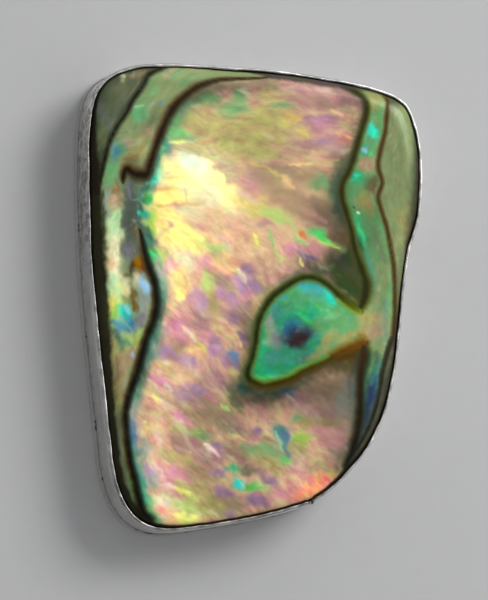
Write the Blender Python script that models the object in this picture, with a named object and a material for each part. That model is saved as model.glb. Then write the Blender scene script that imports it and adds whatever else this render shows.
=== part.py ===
"""A polished abalone shell cabochon held in a silver bezel cup.

It lies on its back plate: +Z is out of the shell's polished face, +Y is towards its
wide end, and the origin is the middle of the back plate's underside. Three pieces:

abalone_cabochon  a slab cut across the shell's layers, domed and polished
bezel_wall        a silver strip bent round the cabochon and soldered into a loop
back_plate        silver sheet under both, sawn a little outside the wall
"""

import bmesh
import bpy
from mathutils import Vector

MM = 0.001

# The wall's outer face seen from above, in millimetres, clockwise from the top left.
# It is a hand-cut free form, so it is a smooth closed curve through points read by eye.
OUTLINE_POINTS = (
    (-9.8, 17.4),
    (-6.6, 17.8),
    (-2.4, 17.7),
    (2.3, 17.5),
    (6.7, 17.0),
    (9.8, 16.4),
    (11.8, 15.4),
    (12.7, 13.7),
    (13.2, 10.8),
    (13.0, 6.9),
    (12.2, 3.9),
    (11.7, 0.7),
    (11.3, -3.2),
    (10.7, -6.8),
    (9.5, -10.1),
    (7.5, -12.9),
    (4.8, -15.2),
    (1.4, -16.4),
    (-2.7, -17.2),
    (-6.5, -17.7),
    (-8.8, -17.2),
    (-10.4, -15.5),
    (-11.2, -13.0),
    (-11.5, -10.6),
    (-12.1, -5.4),
    (-12.7, 0.4),
    (-13.0, 5.6),
    (-13.1, 10.4),
    (-12.9, 13.8),
    (-12.0, 16.1),
)
STEPS_BETWEEN_POINTS = 5

# Angle between faces, in radians, from which an edge is shaded sharp
SHARP_FROM = 0.6

# Left between any two pieces: solder under the wall, cement round the cabochon
JOINT_GAP = 0.3

# Back plate
PLATE_THICKNESS = 0.8
PLATE_LEDGE = 0.12
PLATE_LOWER_BEVEL = 0.1
PLATE_UPPER_BEVEL = 0.05

# Bezel wall: thin strip, its top burnished a little way in over the cabochon
WALL_THICKNESS = 0.3
WALL_TOP = 4.35
LIP_HEIGHT = 0.8
LIP_LEAN = 0.14
LIP_EDGE = 0.05

# Cabochon: straight girdle inside the wall, steep shoulder, then a low dome. Each step is
# a ring's share of the way in across the shoulder, each dome ring a scale of its inner edge.
GIRDLE_INSET = WALL_THICKNESS + JOINT_GAP
GIRDLE_TOP = 3.75
UNDERSIDE_BEVEL = 0.25
SHOULDER_WIDTH = 1.5
SHOULDER_HEIGHT = 1.1
SHOULDER_POWER = 2.3
SHOULDER_STEPS = (0.0, 0.03, 0.1, 0.22, 0.4, 0.65, 1.0)
DOME_RISE = 0.55
DOME_RINGS = (0.8, 0.6, 0.4, 0.2)


def smooth_loop(points, steps):
    """Points on the closed Catmull-Rom curve through the given ones."""
    count = len(points)
    loop = []
    for i in range(count):
        before, start, end, after = (Vector(points[(i + k) % count]) for k in (-1, 0, 1, 2))
        for step in range(steps):
            t = step / steps
            loop.append(
                0.5
                * (
                    2 * start
                    + (end - before) * t
                    + (2 * before - 5 * start + 4 * end - after) * t**2
                    + (3 * start - before - 3 * end + after) * t**3
                )
            )
    return loop


def centred(loop):
    """The loop moved so that the middle of its bounding box is at the origin."""
    xs = [p.x for p in loop]
    ys = [p.y for p in loop]
    middle = Vector(((min(xs) + max(xs)) / 2, (min(ys) + max(ys)) / 2))
    return [p - middle for p in loop]


def inward_normals(loop):
    """Unit vectors pointing into the loop, which runs clockwise."""
    count = len(loop)
    normals = []
    for i in range(count):
        along = (loop[(i + 1) % count] - loop[i - 1]).normalized()
        normals.append(Vector((along.y, -along.x)))
    return normals


OUTLINE = centred(smooth_loop(OUTLINE_POINTS, STEPS_BETWEEN_POINTS))
INWARD = inward_normals(OUTLINE)


def inset_loop(inset):
    """The outline moved inwards by inset millimetres, or outwards if it is negative."""
    return [p + n * inset for p, n in zip(OUTLINE, INWARD)]


def add_ring(bm, loop, height):
    """A vertex in bm for each point of the loop, all at one height in millimetres."""
    return [bm.verts.new((p.x * MM, p.y * MM, height * MM)) for p in loop]


def skin(bm, rings):
    """Four-sided faces between each ring and the next, facing out of rings that climb."""
    for lower, upper in zip(rings, rings[1:]):
        for i in range(len(lower)):
            bm.faces.new((lower[i], lower[i - 1], upper[i - 1], upper[i]))


def finish(bm, name, material):
    """Makes bm an object that is shaded smooth but for its sharp edges."""
    mesh = bpy.data.meshes.new(name)
    bm.to_mesh(mesh)
    bm.free()
    mesh.shade_smooth()
    mesh.set_sharp_from_angle(angle=SHARP_FROM)
    mesh.materials.append(material)
    obj = bpy.data.objects.new(name, mesh)
    bpy.context.scene.collection.objects.link(obj)


def principled(name, colour, roughness, metallic):
    """A material of one plain finish."""
    material = bpy.data.materials.new(name)
    material.use_nodes = True
    shader = material.node_tree.nodes["Principled BSDF"]
    shader.inputs["Base Color"].default_value = (*colour, 1.0)
    shader.inputs["Roughness"].default_value = roughness
    shader.inputs["Metallic"].default_value = metallic
    return material


def make_back_plate(silver):
    """Flat sheet with its lower and upper edges just broken with a file."""
    sections = (
        (PLATE_LOWER_BEVEL - PLATE_LEDGE, 0.0),
        (-PLATE_LEDGE, PLATE_LOWER_BEVEL),
        (-PLATE_LEDGE, PLATE_THICKNESS - PLATE_UPPER_BEVEL),
        (PLATE_UPPER_BEVEL - PLATE_LEDGE, PLATE_THICKNESS),
    )
    bm = bmesh.new()
    rings = [add_ring(bm, inset_loop(inset), height) for inset, height in sections]
    skin(bm, rings)
    bm.faces.new(rings[0])
    bm.faces.new(reversed(rings[-1]))
    finish(bm, "back_plate", silver)


def make_bezel_wall(silver):
    """Closed strip: up the outer face, over the leaning lip and down the inner face."""
    foot = PLATE_THICKNESS + JOINT_GAP
    bend = WALL_TOP - LIP_HEIGHT
    lip_inner = LIP_LEAN + WALL_THICKNESS
    sections = (
        (0.0, foot),
        (0.0, bend),
        (LIP_LEAN / 3, WALL_TOP - LIP_HEIGHT / 2),
        (LIP_LEAN, WALL_TOP - LIP_EDGE),
        (LIP_LEAN + LIP_EDGE, WALL_TOP),
        (lip_inner - LIP_EDGE, WALL_TOP),
        (lip_inner, WALL_TOP - LIP_EDGE),
        (WALL_THICKNESS + LIP_LEAN / 3, WALL_TOP - LIP_HEIGHT / 2),
        (WALL_THICKNESS, bend),
        (WALL_THICKNESS, foot),
    )
    bm = bmesh.new()
    rings = [add_ring(bm, inset_loop(inset), height) for inset, height in sections]
    skin(bm, [*rings, rings[0]])
    finish(bm, "bezel_wall", silver)


def shoulder_height(share):
    """Height above the girdle at a share of the way in across the shoulder."""
    return SHOULDER_HEIGHT * (1 - (1 - share) ** SHOULDER_POWER) ** (1 / SHOULDER_POWER)


def make_abalone_cabochon(nacre):
    """One slab of shell: flat underside, straight girdle, steep shoulder and low dome."""
    underside = PLATE_THICKNESS + JOINT_GAP
    bm = bmesh.new()
    rings = [
        add_ring(bm, inset_loop(GIRDLE_INSET + UNDERSIDE_BEVEL), underside),
        add_ring(bm, inset_loop(GIRDLE_INSET), underside + UNDERSIDE_BEVEL),
    ]
    for share in SHOULDER_STEPS:
        inset = GIRDLE_INSET + share * SHOULDER_WIDTH
        rings.append(add_ring(bm, inset_loop(inset), GIRDLE_TOP + shoulder_height(share)))
    table = inset_loop(GIRDLE_INSET + SHOULDER_WIDTH)
    table_height = GIRDLE_TOP + SHOULDER_HEIGHT
    for scale in DOME_RINGS:
        height = table_height + DOME_RISE * (1 - scale**2)
        rings.append(add_ring(bm, [p * scale for p in table], height))
    skin(bm, rings)
    bm.faces.new(rings[0])
    top = bm.verts.new((0.0, 0.0, (table_height + DOME_RISE) * MM))
    last = rings[-1]
    for i in range(len(last)):
        bm.faces.new((last[i], last[i - 1], top))
    finish(bm, "abalone_cabochon", nacre)


def main():
    for obj in list(bpy.data.objects):
        bpy.data.objects.remove(obj)
    silver = principled("fine_silver", colour=(0.86, 0.85, 0.82), roughness=0.25, metallic=1.0)
    sheet = principled("silver_sheet", colour=(0.80, 0.79, 0.76), roughness=0.35, metallic=1.0)
    nacre = principled("abalone_nacre", colour=(0.62, 0.55, 0.42), roughness=0.12, metallic=0.0)
    make_back_plate(sheet)
    make_bezel_wall(silver)
    make_abalone_cabochon(nacre)


main()
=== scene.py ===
import math

import bpy
import numpy as np
from mathutils import Matrix, Vector, noise
from mathutils.kdtree import KDTree


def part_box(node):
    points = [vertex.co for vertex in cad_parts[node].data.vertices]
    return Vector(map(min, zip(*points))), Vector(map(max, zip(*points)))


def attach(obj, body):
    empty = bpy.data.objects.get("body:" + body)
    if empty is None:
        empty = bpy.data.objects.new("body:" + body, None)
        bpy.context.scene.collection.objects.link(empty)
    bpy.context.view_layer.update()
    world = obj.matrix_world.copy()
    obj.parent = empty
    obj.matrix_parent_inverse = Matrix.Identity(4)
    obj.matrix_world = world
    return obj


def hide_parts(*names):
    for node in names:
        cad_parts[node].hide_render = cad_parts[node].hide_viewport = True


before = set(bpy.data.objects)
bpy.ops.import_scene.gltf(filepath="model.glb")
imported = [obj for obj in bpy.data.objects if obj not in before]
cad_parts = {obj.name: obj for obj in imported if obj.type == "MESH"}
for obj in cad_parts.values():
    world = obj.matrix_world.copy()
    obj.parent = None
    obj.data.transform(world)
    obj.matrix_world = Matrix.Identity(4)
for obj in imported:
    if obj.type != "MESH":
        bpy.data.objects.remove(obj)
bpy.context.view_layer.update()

# The sheet of pale grey paper that the piece lies on, under soft studio light from the
# upper right. The camera looks almost straight down and leans a little to the left and
# towards the narrow end, so that some of the wall's left side shows.
MM = 0.001
PAPER_SIZE = 3.0
PAPER_GREY = 0.47
PHOTO_WIDTH, PHOTO_HEIGHT = 488, 600
MM_PER_PIXEL = 0.0755
RIM_HEIGHT = 4.35
CAMERA_DISTANCE = 300.0
CAMERA_LEAN_LEFT, CAMERA_LEAN_DOWN = math.radians(13), math.radians(6)
RIM_CENTRE_PIXEL = (257.1, 297.3)
SENSOR_MM = 36.0


def add_node(tree, kind, sockets=(), **settings):
    """A shader node with its settings, and its inputs set or linked by name or number."""
    made = tree.nodes.new(kind)
    for name, value in settings.items():
        setattr(made, name, value)
    for name, value in dict(sockets).items():
        if isinstance(value, bpy.types.NodeSocket):
            tree.links.new(value, made.inputs[name])
        else:
            made.inputs[name].default_value = value
    return made


def new_material(name):
    """An empty material, its node tree and its Principled BSDF."""
    material = bpy.data.materials.new(name)
    material.use_nodes = True
    return material, material.node_tree, material.node_tree.nodes["Principled BSDF"]


def ramp(tree, factor, stops, interpolation="LINEAR"):
    """A colour ramp's output. Each stop is a position and a grey or a linear colour."""
    made = add_node(tree, "ShaderNodeValToRGB", {"Fac": factor})
    made.color_ramp.interpolation = interpolation
    elements = made.color_ramp.elements
    while len(elements) < len(stops):
        elements.new(0.5)
    for element, (position, colour) in zip(elements, stops):
        element.position = position
        element.color = (*colour, 1.0) if isinstance(colour, tuple) else (colour,) * 3 + (1.0,)
    return made.outputs["Color"]


def math_node(tree, operation, first, second=0.0, clamp=False):
    made = add_node(tree, "ShaderNodeMath", {0: first, 1: second}, operation=operation)
    made.use_clamp = clamp
    return made.outputs[0]


def mix_colours(tree, factor, first, second, blend="MIX"):
    made = add_node(tree, "ShaderNodeMix", data_type="RGBA", blend_type=blend)
    for socket, value in ((0, factor), (6, first), (7, second)):
        if isinstance(value, bpy.types.NodeSocket):
            tree.links.new(value, made.inputs[socket])
        else:
            made.inputs[socket].default_value = value
    return made.outputs[2]


bpy.ops.object.select_all(action="DESELECT")
bpy.ops.mesh.primitive_plane_add(size=PAPER_SIZE)
paper = bpy.context.object
paper.name = "paper"
paper_material, tree, shader = new_material("pale_paper")
place = add_node(tree, "ShaderNodeTexCoord").outputs["Object"]
fibres = add_node(tree, "ShaderNodeTexNoise", {"Vector": place, "Scale": 900.0, "Detail": 4.0})
mottle = add_node(tree, "ShaderNodeTexNoise", {"Vector": place, "Scale": 60.0, "Detail": 3.0})
paper_tone = math_node(tree, "ADD", math_node(tree, "MULTIPLY", fibres.outputs[0], 0.4),
                       math_node(tree, "MULTIPLY", mottle.outputs[0], 0.6))
tree.links.new(ramp(tree, paper_tone, ((0.3, PAPER_GREY - 0.012), (0.7, PAPER_GREY + 0.012))),
               shader.inputs["Base Color"])
shader.inputs["Roughness"].default_value = 0.9
shader.inputs["Specular IOR Level"].default_value = 0.2
paper.data.materials.append(paper_material)


def add_lamp(name, direction, distance, size, power, colour=(1.0, 1.0, 1.0)):
    """A square soft lamp that shines on the object from a direction."""
    light = bpy.data.lights.new(name, "AREA")
    light.size = size
    light.energy = power
    light.color = colour
    lamp = bpy.data.objects.new(name, light)
    bpy.context.scene.collection.objects.link(lamp)
    towards = Vector(direction).normalized()
    lamp.location = towards * distance
    lamp.rotation_euler = towards.to_track_quat("Z", "Y").to_euler()
    return lamp


add_lamp("key_lamp", (0.72, 0.60, 0.8), 0.34, 0.17, 0.90)
add_lamp("soft_overhead_lamp", (0.12, 0.20, 1.0), 0.5, 0.10, 0.06)

# The room is bright on the window's side, dim to the left, and dark above the camera,
# which is what the polished face mirrors.
world = bpy.data.worlds.new("studio")
world.use_nodes = True
sky = world.node_tree
sky_direction = add_node(sky, "ShaderNodeTexCoord").outputs["Generated"]
to_window = add_node(sky, "ShaderNodeVectorMath",
                     {0: sky_direction, 1: (0.62, 0.50, 0.60)}, operation="DOT_PRODUCT")
sky_strength = add_node(sky, "ShaderNodeMapRange",
                        {"Value": to_window.outputs["Value"], "From Min": -0.5, "From Max": 1.0,
                         "To Min": 0.42, "To Max": 0.78})
sky_height = add_node(sky, "ShaderNodeSeparateXYZ", {0: sky_direction}).outputs["Z"]
overhead = add_node(sky, "ShaderNodeMapRange",
                    {"Value": sky_height, "From Min": 0.78, "From Max": 0.96, "To Min": 1.0,
                     "To Max": 0.12}, interpolation_type="SMOOTHSTEP")
sky_light = math_node(sky, "MULTIPLY", sky_strength.outputs[0], overhead.outputs[0])
sky.nodes["Background"].inputs["Color"].default_value = (0.97, 0.98, 1.0, 1.0)
sky.links.new(sky_light, sky.nodes["Background"].inputs["Strength"])
bpy.context.scene.world = world
bpy.context.scene.view_settings.view_transform = "Standard"

camera_back = Vector((-math.sin(CAMERA_LEAN_LEFT), -math.sin(CAMERA_LEAN_DOWN), 0.0))
camera_back.z = math.sqrt(1 - camera_back.length_squared)
camera_right = Vector((0, 1, 0)).cross(camera_back).normalized()
camera_up = camera_back.cross(camera_right)
aside = (RIM_CENTRE_PIXEL[0] - PHOTO_WIDTH / 2) * MM_PER_PIXEL
above = (PHOTO_HEIGHT / 2 - RIM_CENTRE_PIXEL[1]) * MM_PER_PIXEL
camera_place = Vector((0, 0, RIM_HEIGHT)) + camera_back * CAMERA_DISTANCE
camera_place -= camera_right * aside + camera_up * above
camera_data = bpy.data.cameras.new("photo_camera")
camera_data.sensor_width = SENSOR_MM
camera_data.lens = SENSOR_MM * CAMERA_DISTANCE / (PHOTO_HEIGHT * MM_PER_PIXEL)
camera_data.clip_start = 0.001
camera = bpy.data.objects.new("photo_camera", camera_data)
camera.location = camera_place * MM
camera.rotation_euler = Matrix((camera_right, camera_up, camera_back)).transposed().to_euler()
bpy.context.scene.collection.objects.link(camera)
bpy.context.scene.camera = camera

# The back plate: sheet silver, pierced out a little larger than the wall and filed to it.
# Its underside keeps the long scratches of the emery paper that it was flattened on.
silver_colour = (0.80, 0.79, 0.765)


def scratch_group():
    """Fine scratches: a height for bump, and a mask of the deeper ones."""
    group = bpy.data.node_groups.new("fine_scratches", "ShaderNodeTree")
    face = group.interface
    face.new_socket("Vector", in_out="INPUT", socket_type="NodeSocketVector")
    face.new_socket("Scale", in_out="INPUT", socket_type="NodeSocketFloat")
    face.new_socket("Height", in_out="OUTPUT", socket_type="NodeSocketFloat")
    face.new_socket("Deep", in_out="OUTPUT", socket_type="NodeSocketFloat")
    given = group.nodes.new("NodeGroupInput").outputs
    result = group.nodes.new("NodeGroupOutput").inputs
    fine = add_node(group, "ShaderNodeTexNoise",
                    {"Vector": given["Vector"], "Scale": given["Scale"], "Detail": 5.0,
                     "Roughness": 0.7, "Distortion": 0.2})
    tree_links = group.links
    tree_links.new(fine.outputs[0], result["Height"])
    deep = ramp(group, fine.outputs[0], ((0.60, 0.0), (0.72, 1.0)))
    tree_links.new(deep, result["Deep"])
    return group


fine_scratches = scratch_group()


def silver(name, stretch, scratch_scale, turn=0.0, bump=0.25, tarnish=0.25, vector=None,
           dark=None, roughness=(0.22, 0.42)):
    """Worn silver: scratches drawn out along one direction, over a soft grey tarnish."""
    material, tree, shader = new_material(name)
    place = add_node(tree, "ShaderNodeTexCoord").outputs["Object"]
    along = vector(tree) if vector else place
    drawn = add_node(tree, "ShaderNodeMapping",
                     {"Vector": along, "Rotation": (0, 0, turn), "Scale": stretch})
    scratches = add_node(tree, "ShaderNodeGroup", node_tree=fine_scratches)
    tree.links.new(drawn.outputs[0], scratches.inputs["Vector"])
    scratches.inputs["Scale"].default_value = scratch_scale
    cloud = add_node(tree, "ShaderNodeTexNoise",
                     {"Vector": place, "Scale": 420.0, "Detail": 5.0, "Roughness": 0.6})
    bright = (*silver_colour, 1.0)
    dull = (0.47, 0.455, 0.43, 1.0)
    patchy = ramp(tree, cloud.outputs[0], ((0.45, 0.0), (0.75, tarnish)))
    colour = mix_colours(tree, patchy, bright, dull)
    colour = mix_colours(tree, math_node(tree, "MULTIPLY", scratches.outputs["Deep"], 0.35),
                         colour, (0.30, 0.285, 0.265, 1.0))
    # The caller's dark mask: pits, stains and the seam, and painted shade on the ledge, along the wall's foot and on
    # the rim's shaded side.
    if dark:
        colour = mix_colours(tree, dark(tree), colour, (0.035, 0.03, 0.027, 1.0))
    tree.links.new(colour, shader.inputs["Base Color"])
    rough = add_node(tree, "ShaderNodeMapRange",
                     {"Value": scratches.outputs["Height"], "From Min": 0.3, "From Max": 0.7,
                      "To Min": roughness[0], "To Max": roughness[1]})
    tree.links.new(rough.outputs[0], shader.inputs["Roughness"])
    shader.inputs["Metallic"].default_value = 1.0
    relief = add_node(tree, "ShaderNodeBump",
                      {"Strength": bump, "Distance": 0.00002,
                       "Height": scratches.outputs["Height"]})
    tree.links.new(relief.outputs[0], shader.inputs["Normal"])
    return material




def ledge_shade(tree):
    """Painted shade on the narrow ledge outside the wall, where it meets the wall's foot: it darkens the plate's top
    and the upper part of its edge.
    """
    place = add_node(tree, "ShaderNodeTexCoord").outputs["Object"]
    height = add_node(tree, "ShaderNodeSeparateXYZ", {0: place}).outputs["Z"]
    high = add_node(tree, "ShaderNodeMapRange",
                    {"Value": height, "From Min": 0.66 * MM, "From Max": 0.8 * MM})
    return math_node(tree, "MULTIPLY", high.outputs[0], 0.72)


# The plate's dark mask is painted shade on its ledge.
plate_silver = silver("emeried_sheet_silver", (1.0, 0.06, 1.0), 9000.0, turn=0.35, bump=0.4,
                      tarnish=0.4, dark=ledge_shade, roughness=(0.3, 0.5))
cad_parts["back_plate"].material_slots[0].material = plate_silver

# The bezel wall: a strip of fine silver bent round the shell, its ends butted and
# soldered at the lower right, its foot soldered to the plate. Its top edge is pushed
# over the shell with a burnisher, which leaves it thin and a little uneven.
RIM_POINTS = 960
PLATE_TOP = 0.8
WALL_THICKNESS = 0.3
WALL_BEND = 3.55
LIP_LEAN = 0.14
LIP_EDGE = 0.05
SEAM_PIXEL = (311.6, 501.4)
SEAM_HALF_WIDTH = 0.24
SEAM_DEPTH = 0.2
# Width in mm that the burnisher left of the wall's top: pixel, pixel and width.
RIM_WIDTHS = (
    (94, 300, 0.13), (92, 180, 0.10), (100, 90, 0.12), (130, 70, 0.20), (200, 68, 0.23),
    (300, 74, 0.20), (380, 88, 0.18), (415, 120, 0.19), (419, 200, 0.21), (408, 260, 0.21),
    (402, 330, 0.19), (390, 400, 0.17), (350, 470, 0.15), (300, 505, 0.14), (200, 526, 0.12),
    (140, 522, 0.12), (110, 440, 0.16), (102, 370, 0.17),
)


def rim_outline(node, count):
    """Evenly spaced points, in mm, on a smooth line through a CAD node's lowest ring."""
    low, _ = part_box(node)
    found = {
        (round(v.co.x / MM, 4), round(v.co.y / MM, 4))
        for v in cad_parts[node].data.vertices
        if v.co.z < low.z + 0.001 * MM
    }
    ring = np.array(sorted(found, key=lambda p: -math.atan2(p[1], p[0])))
    before, after, later = np.roll(ring, 1, 0), np.roll(ring, -1, 0), np.roll(ring, -2, 0)
    curve = []
    for t in np.linspace(0, 1, 12, endpoint=False):
        curve.append(0.5 * (2 * ring + (after - before) * t
                            + (2 * before - 5 * ring + 4 * after - later) * t**2
                            + (3 * ring - before - 3 * after + later) * t**3))
    curve = np.stack(curve, axis=1).reshape(-1, 2)
    closed = np.vstack([curve, curve[:1]])
    length = np.concatenate([[0], np.cumsum(np.linalg.norm(np.diff(closed, axis=0), axis=1))])
    wanted = np.linspace(0, length[-1], count, endpoint=False)
    return np.column_stack([np.interp(wanted, length, closed[:, k]) for k in (0, 1)])


outline = rim_outline("back_plate", RIM_POINTS)
tangent = np.roll(outline, -1, 0) - np.roll(outline, 1, 0)
tangent /= np.linalg.norm(tangent, axis=1)[:, None]
inward = np.column_stack([tangent[:, 1], -tangent[:, 0]])
OUTLINE_TO_WALL = 0.02
rim_length = np.linalg.norm(np.roll(outline, -1, 0) - outline, axis=1).sum()
along_rim = np.arange(RIM_POINTS) / RIM_POINTS * rim_length


def ring(inset, height):
    """Points round the rim, in metres. Inset and height are numbers or one for each point."""
    flat = outline + inward * (np.zeros(RIM_POINTS) + inset + OUTLINE_TO_WALL)[:, None]
    return np.column_stack([flat, np.zeros(RIM_POINTS) + height]) * MM


def unevenness(wavelength, seed):
    """A smooth uneven value for each point round the rim, from about -1 to 1."""
    return np.array([
        noise.noise((outline[i, 0] / wavelength, outline[i, 1] / wavelength, seed))
        for i in range(RIM_POINTS)
    ]) * 2.0


def pixel_to_mm(pixel, height):
    """The point at a height, in mm, that the camera sees at a pixel of the photograph."""
    right, up = pixel[0] - PHOTO_WIDTH / 2, PHOTO_HEIGHT / 2 - pixel[1]
    scale = MM_PER_PIXEL / CAMERA_DISTANCE
    ray = camera_right * right * scale + camera_up * up * scale - camera_back
    return camera_place + ray * ((height - camera_place.z) / ray.z)


def modelled_ring(name, rings):
    """A piece made of a circle, extruded once for each further ring of points."""
    bpy.ops.object.select_all(action="DESELECT")
    bpy.ops.mesh.primitive_circle_add(vertices=len(rings[0]), radius=15 * MM)
    piece = bpy.context.object
    piece.name = piece.data.name = name
    bpy.ops.object.mode_set(mode="EDIT")
    bpy.ops.mesh.select_all(action="SELECT")
    for _ in rings[1:]:
        bpy.ops.mesh.extrude_edges_move(TRANSFORM_OT_translate={"value": (0, 0, 0.1 * MM)})
    bpy.ops.object.mode_set(mode="OBJECT")
    piece.data.vertices.foreach_set("co", np.concatenate(rings).ravel())
    return piece


seam_place = pixel_to_mm(SEAM_PIXEL, RIM_HEIGHT)
seam_index = int(np.argmin(np.hypot(outline[:, 0] - seam_place.x, outline[:, 1] - seam_place.y)))
from_seam = along_rim - along_rim[seam_index]
from_seam = (from_seam + rim_length / 2) % rim_length - rim_length / 2
seam = np.exp(-((from_seam / SEAM_HALF_WIDTH) ** 2))


def round_the_rim(stops, height):
    """A value for each point round the rim, between those given at pixels of the photo."""
    found = []
    for x, y, value in stops:
        at = pixel_to_mm((x, y), height)
        away = np.hypot(outline[:, 0] - at.x, outline[:, 1] - at.y)
        found.append((int(np.argmin(away)), value))
    return np.interp(np.arange(RIM_POINTS), *zip(*sorted(found)), period=RIM_POINTS)


rim_width = round_the_rim(RIM_WIDTHS, RIM_HEIGHT)
rise = 0.030 * unevenness(2.6, 1.7) + 0.014 * unevenness(0.7, 4.1)
lean = 0.035 * unevenness(3.4, 8.3) + 0.012 * unevenness(0.8, 2.9) - 0.24 * seam
thin = 0.20 * unevenness(2.1, 5.5) + 0.08 * unevenness(0.6, 9.2)
swell = 0.018 * unevenness(2.4, 3.3)
solder = 0.09 + 0.05 * unevenness(1.3, 6.6) + 0.03 * unevenness(0.45, 7.7)
top = RIM_HEIGHT + rise - SEAM_DEPTH * seam
lip = LIP_LEAN + lean
inner_lip = lip + rim_width * (1 + thin)
wall_rings = [
    ring(WALL_THICKNESS, PLATE_TOP),
    ring(-0.05 - 0.3 * solder, PLATE_TOP),
    ring(-0.03 - 0.2 * solder, PLATE_TOP + 0.3 * solder),
    ring(-0.01, PLATE_TOP + 1.2 * solder),
    ring(0.01, PLATE_TOP + 2.4 * solder),
    ring(swell * 0.6, 1.6),
    ring(swell, 2.1),
    ring(swell * 0.8, 2.7),
    ring(swell * 0.4, 3.2),
    ring(0.01, WALL_BEND),
    ring(lip * 0.12, 3.75),
    ring(lip * 0.35, 3.95),
    ring(lip * 0.65, 4.12),
    ring(lip * 0.9, top - 0.11),
    ring(lip, top - LIP_EDGE),
    ring(lip + 0.10 * rim_width, top - 0.018),
    ring(lip + 0.28 * rim_width, top - 0.002),
    ring((lip + inner_lip) / 2, top + 0.004),
    ring(inner_lip - 0.25 * rim_width, top - 0.004),
    ring(inner_lip - 0.08 * rim_width, top - 0.022),
    ring(inner_lip, top - 0.06),
    ring(np.maximum(inner_lip - 0.03, 0.5 * (inner_lip + WALL_THICKNESS)), 4.15),
    ring(WALL_THICKNESS + 0.02, 3.85),
    ring(WALL_THICKNESS, WALL_BEND),
    ring(WALL_THICKNESS, 2.0),
]
wall_rings.append(wall_rings[0])
wall = modelled_ring("burnished_bezel_wall", wall_rings)
bpy.ops.object.mode_set(mode="EDIT")
bpy.ops.mesh.select_all(action="SELECT")
bpy.ops.mesh.remove_doubles(threshold=0.0001 * MM)
bpy.ops.mesh.normals_make_consistent(inside=False)
bpy.ops.object.mode_set(mode="OBJECT")
bpy.ops.object.shade_smooth_by_angle(angle=math.radians(50))


def wall_pits_and_shade(tree):
    """Dark specks of flux and file marks along the foot, dark stains on the wall's upper left, a dull film on the rim
    and the dark seam of the strip, with painted shade along the foot and on the rim's left side and lower end.
    """
    place = add_node(tree, "ShaderNodeTexCoord").outputs["Object"]
    sides = add_node(tree, "ShaderNodeSeparateXYZ", {0: place}).outputs
    height = sides["Z"]
    low = add_node(tree, "ShaderNodeMapRange",
                   {"Value": height, "From Min": 2.0 * MM, "From Max": 0.9 * MM})
    specks = add_node(tree, "ShaderNodeTexNoise",
                      {"Vector": place, "Scale": 1500.0, "Detail": 3.0, "Roughness": 0.65})
    pits = ramp(tree, specks.outputs[0], ((0.55, 0.0), (0.64, 1.0)))
    near_foot = math_node(tree, "MULTIPLY", pits, low.outputs[0])
    # Painted shade: an even darkening along the wall's foot, against the plate.
    foot = add_node(tree, "ShaderNodeMapRange",
                    {"Value": height, "From Min": 1.1 * MM, "From Max": 0.85 * MM,
                     "To Min": 0.0, "To Max": 0.6})
    near_foot = math_node(tree, "MAXIMUM", near_foot, foot.outputs[0])
    left = add_node(tree, "ShaderNodeMapRange",
                    {"Value": sides["X"], "From Min": -9.5 * MM, "From Max": -11.5 * MM})
    low_end = add_node(tree, "ShaderNodeMapRange",
                       {"Value": sides["Y"], "From Min": -11.0 * MM, "From Max": -14.0 * MM})
    # Painted shade on the rim's left side and, more strongly, its lower end: the sides turned from the light.
    shaded_side = math_node(tree, "MAXIMUM", math_node(tree, "MULTIPLY", left.outputs[0], 0.45),
                        low_end.outputs[0])
    wide_end = add_node(tree, "ShaderNodeMapRange",
                        {"Value": sides["Y"], "From Min": 1.0 * MM, "From Max": 5.0 * MM})
    stains = ramp(tree, specks.outputs[0], ((0.47, 0.0), (0.60, 0.6)))
    stains = math_node(tree, "MULTIPLY", stains, wide_end.outputs[0])
    stains = math_node(tree, "MULTIPLY", stains, left.outputs[0])
    near_foot = math_node(tree, "MAXIMUM", near_foot, stains)
    rim_mottle = add_node(tree, "ShaderNodeTexNoise",
                      {"Vector": place, "Scale": 1100.0, "Detail": 2.0, "Roughness": 0.6})
    rim_only = add_node(tree, "ShaderNodeMapRange",
                        {"Value": height, "From Min": 3.9 * MM, "From Max": 4.2 * MM})
    # The rim darkened in dashes on those sides is painted shade; the film over the whole rim is dullness.
    dull_and_shaded_rim = ramp(tree, rim_mottle.outputs[0], ((0.36, 0.25), (0.6, 0.75)))
    dull_and_shaded_rim = math_node(tree, "MULTIPLY", dull_and_shaded_rim, rim_only.outputs[0])
    dull_and_shaded_rim = math_node(tree, "MULTIPLY", dull_and_shaded_rim, shaded_side)
    film = ramp(tree, rim_mottle.outputs[0], ((0.35, 0.10), (0.65, 0.50)))
    film = math_node(tree, "MULTIPLY", film, rim_only.outputs[0])
    dull_and_shaded_rim = math_node(tree, "MAXIMUM", dull_and_shaded_rim, film)
    near_foot = math_node(tree, "MAXIMUM", near_foot, dull_and_shaded_rim)
    seam_mask = add_node(tree, "ShaderNodeAttribute", attribute_name="seam").outputs["Fac"]
    return math_node(tree, "MAXIMUM", near_foot, seam_mask)


wall_points = np.empty(len(wall.data.vertices) * 3)
wall.data.vertices.foreach_get("co", wall_points)
beside_seam = wall_points.reshape(-1, 3)[:, :2] / MM - outline[seam_index]
seam_values = np.exp(-((beside_seam @ tangent[seam_index] / SEAM_HALF_WIDTH) ** 2))
seam_values *= np.hypot(*beside_seam.T) < 4 * SEAM_HALF_WIDTH
wall.data.attributes.new("seam", "FLOAT", "POINT").data.foreach_set(
    "value", seam_values.astype(np.float32))
wall.data.materials.append(
    silver("burnished_fine_silver", (1.0, 1.0, 0.12), 5200.0, bump=0.4, tarnish=0.6,
           dark=wall_pits_and_shade, roughness=(0.28, 0.44)))
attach(wall, "root")
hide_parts("bezel_wall")

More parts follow.
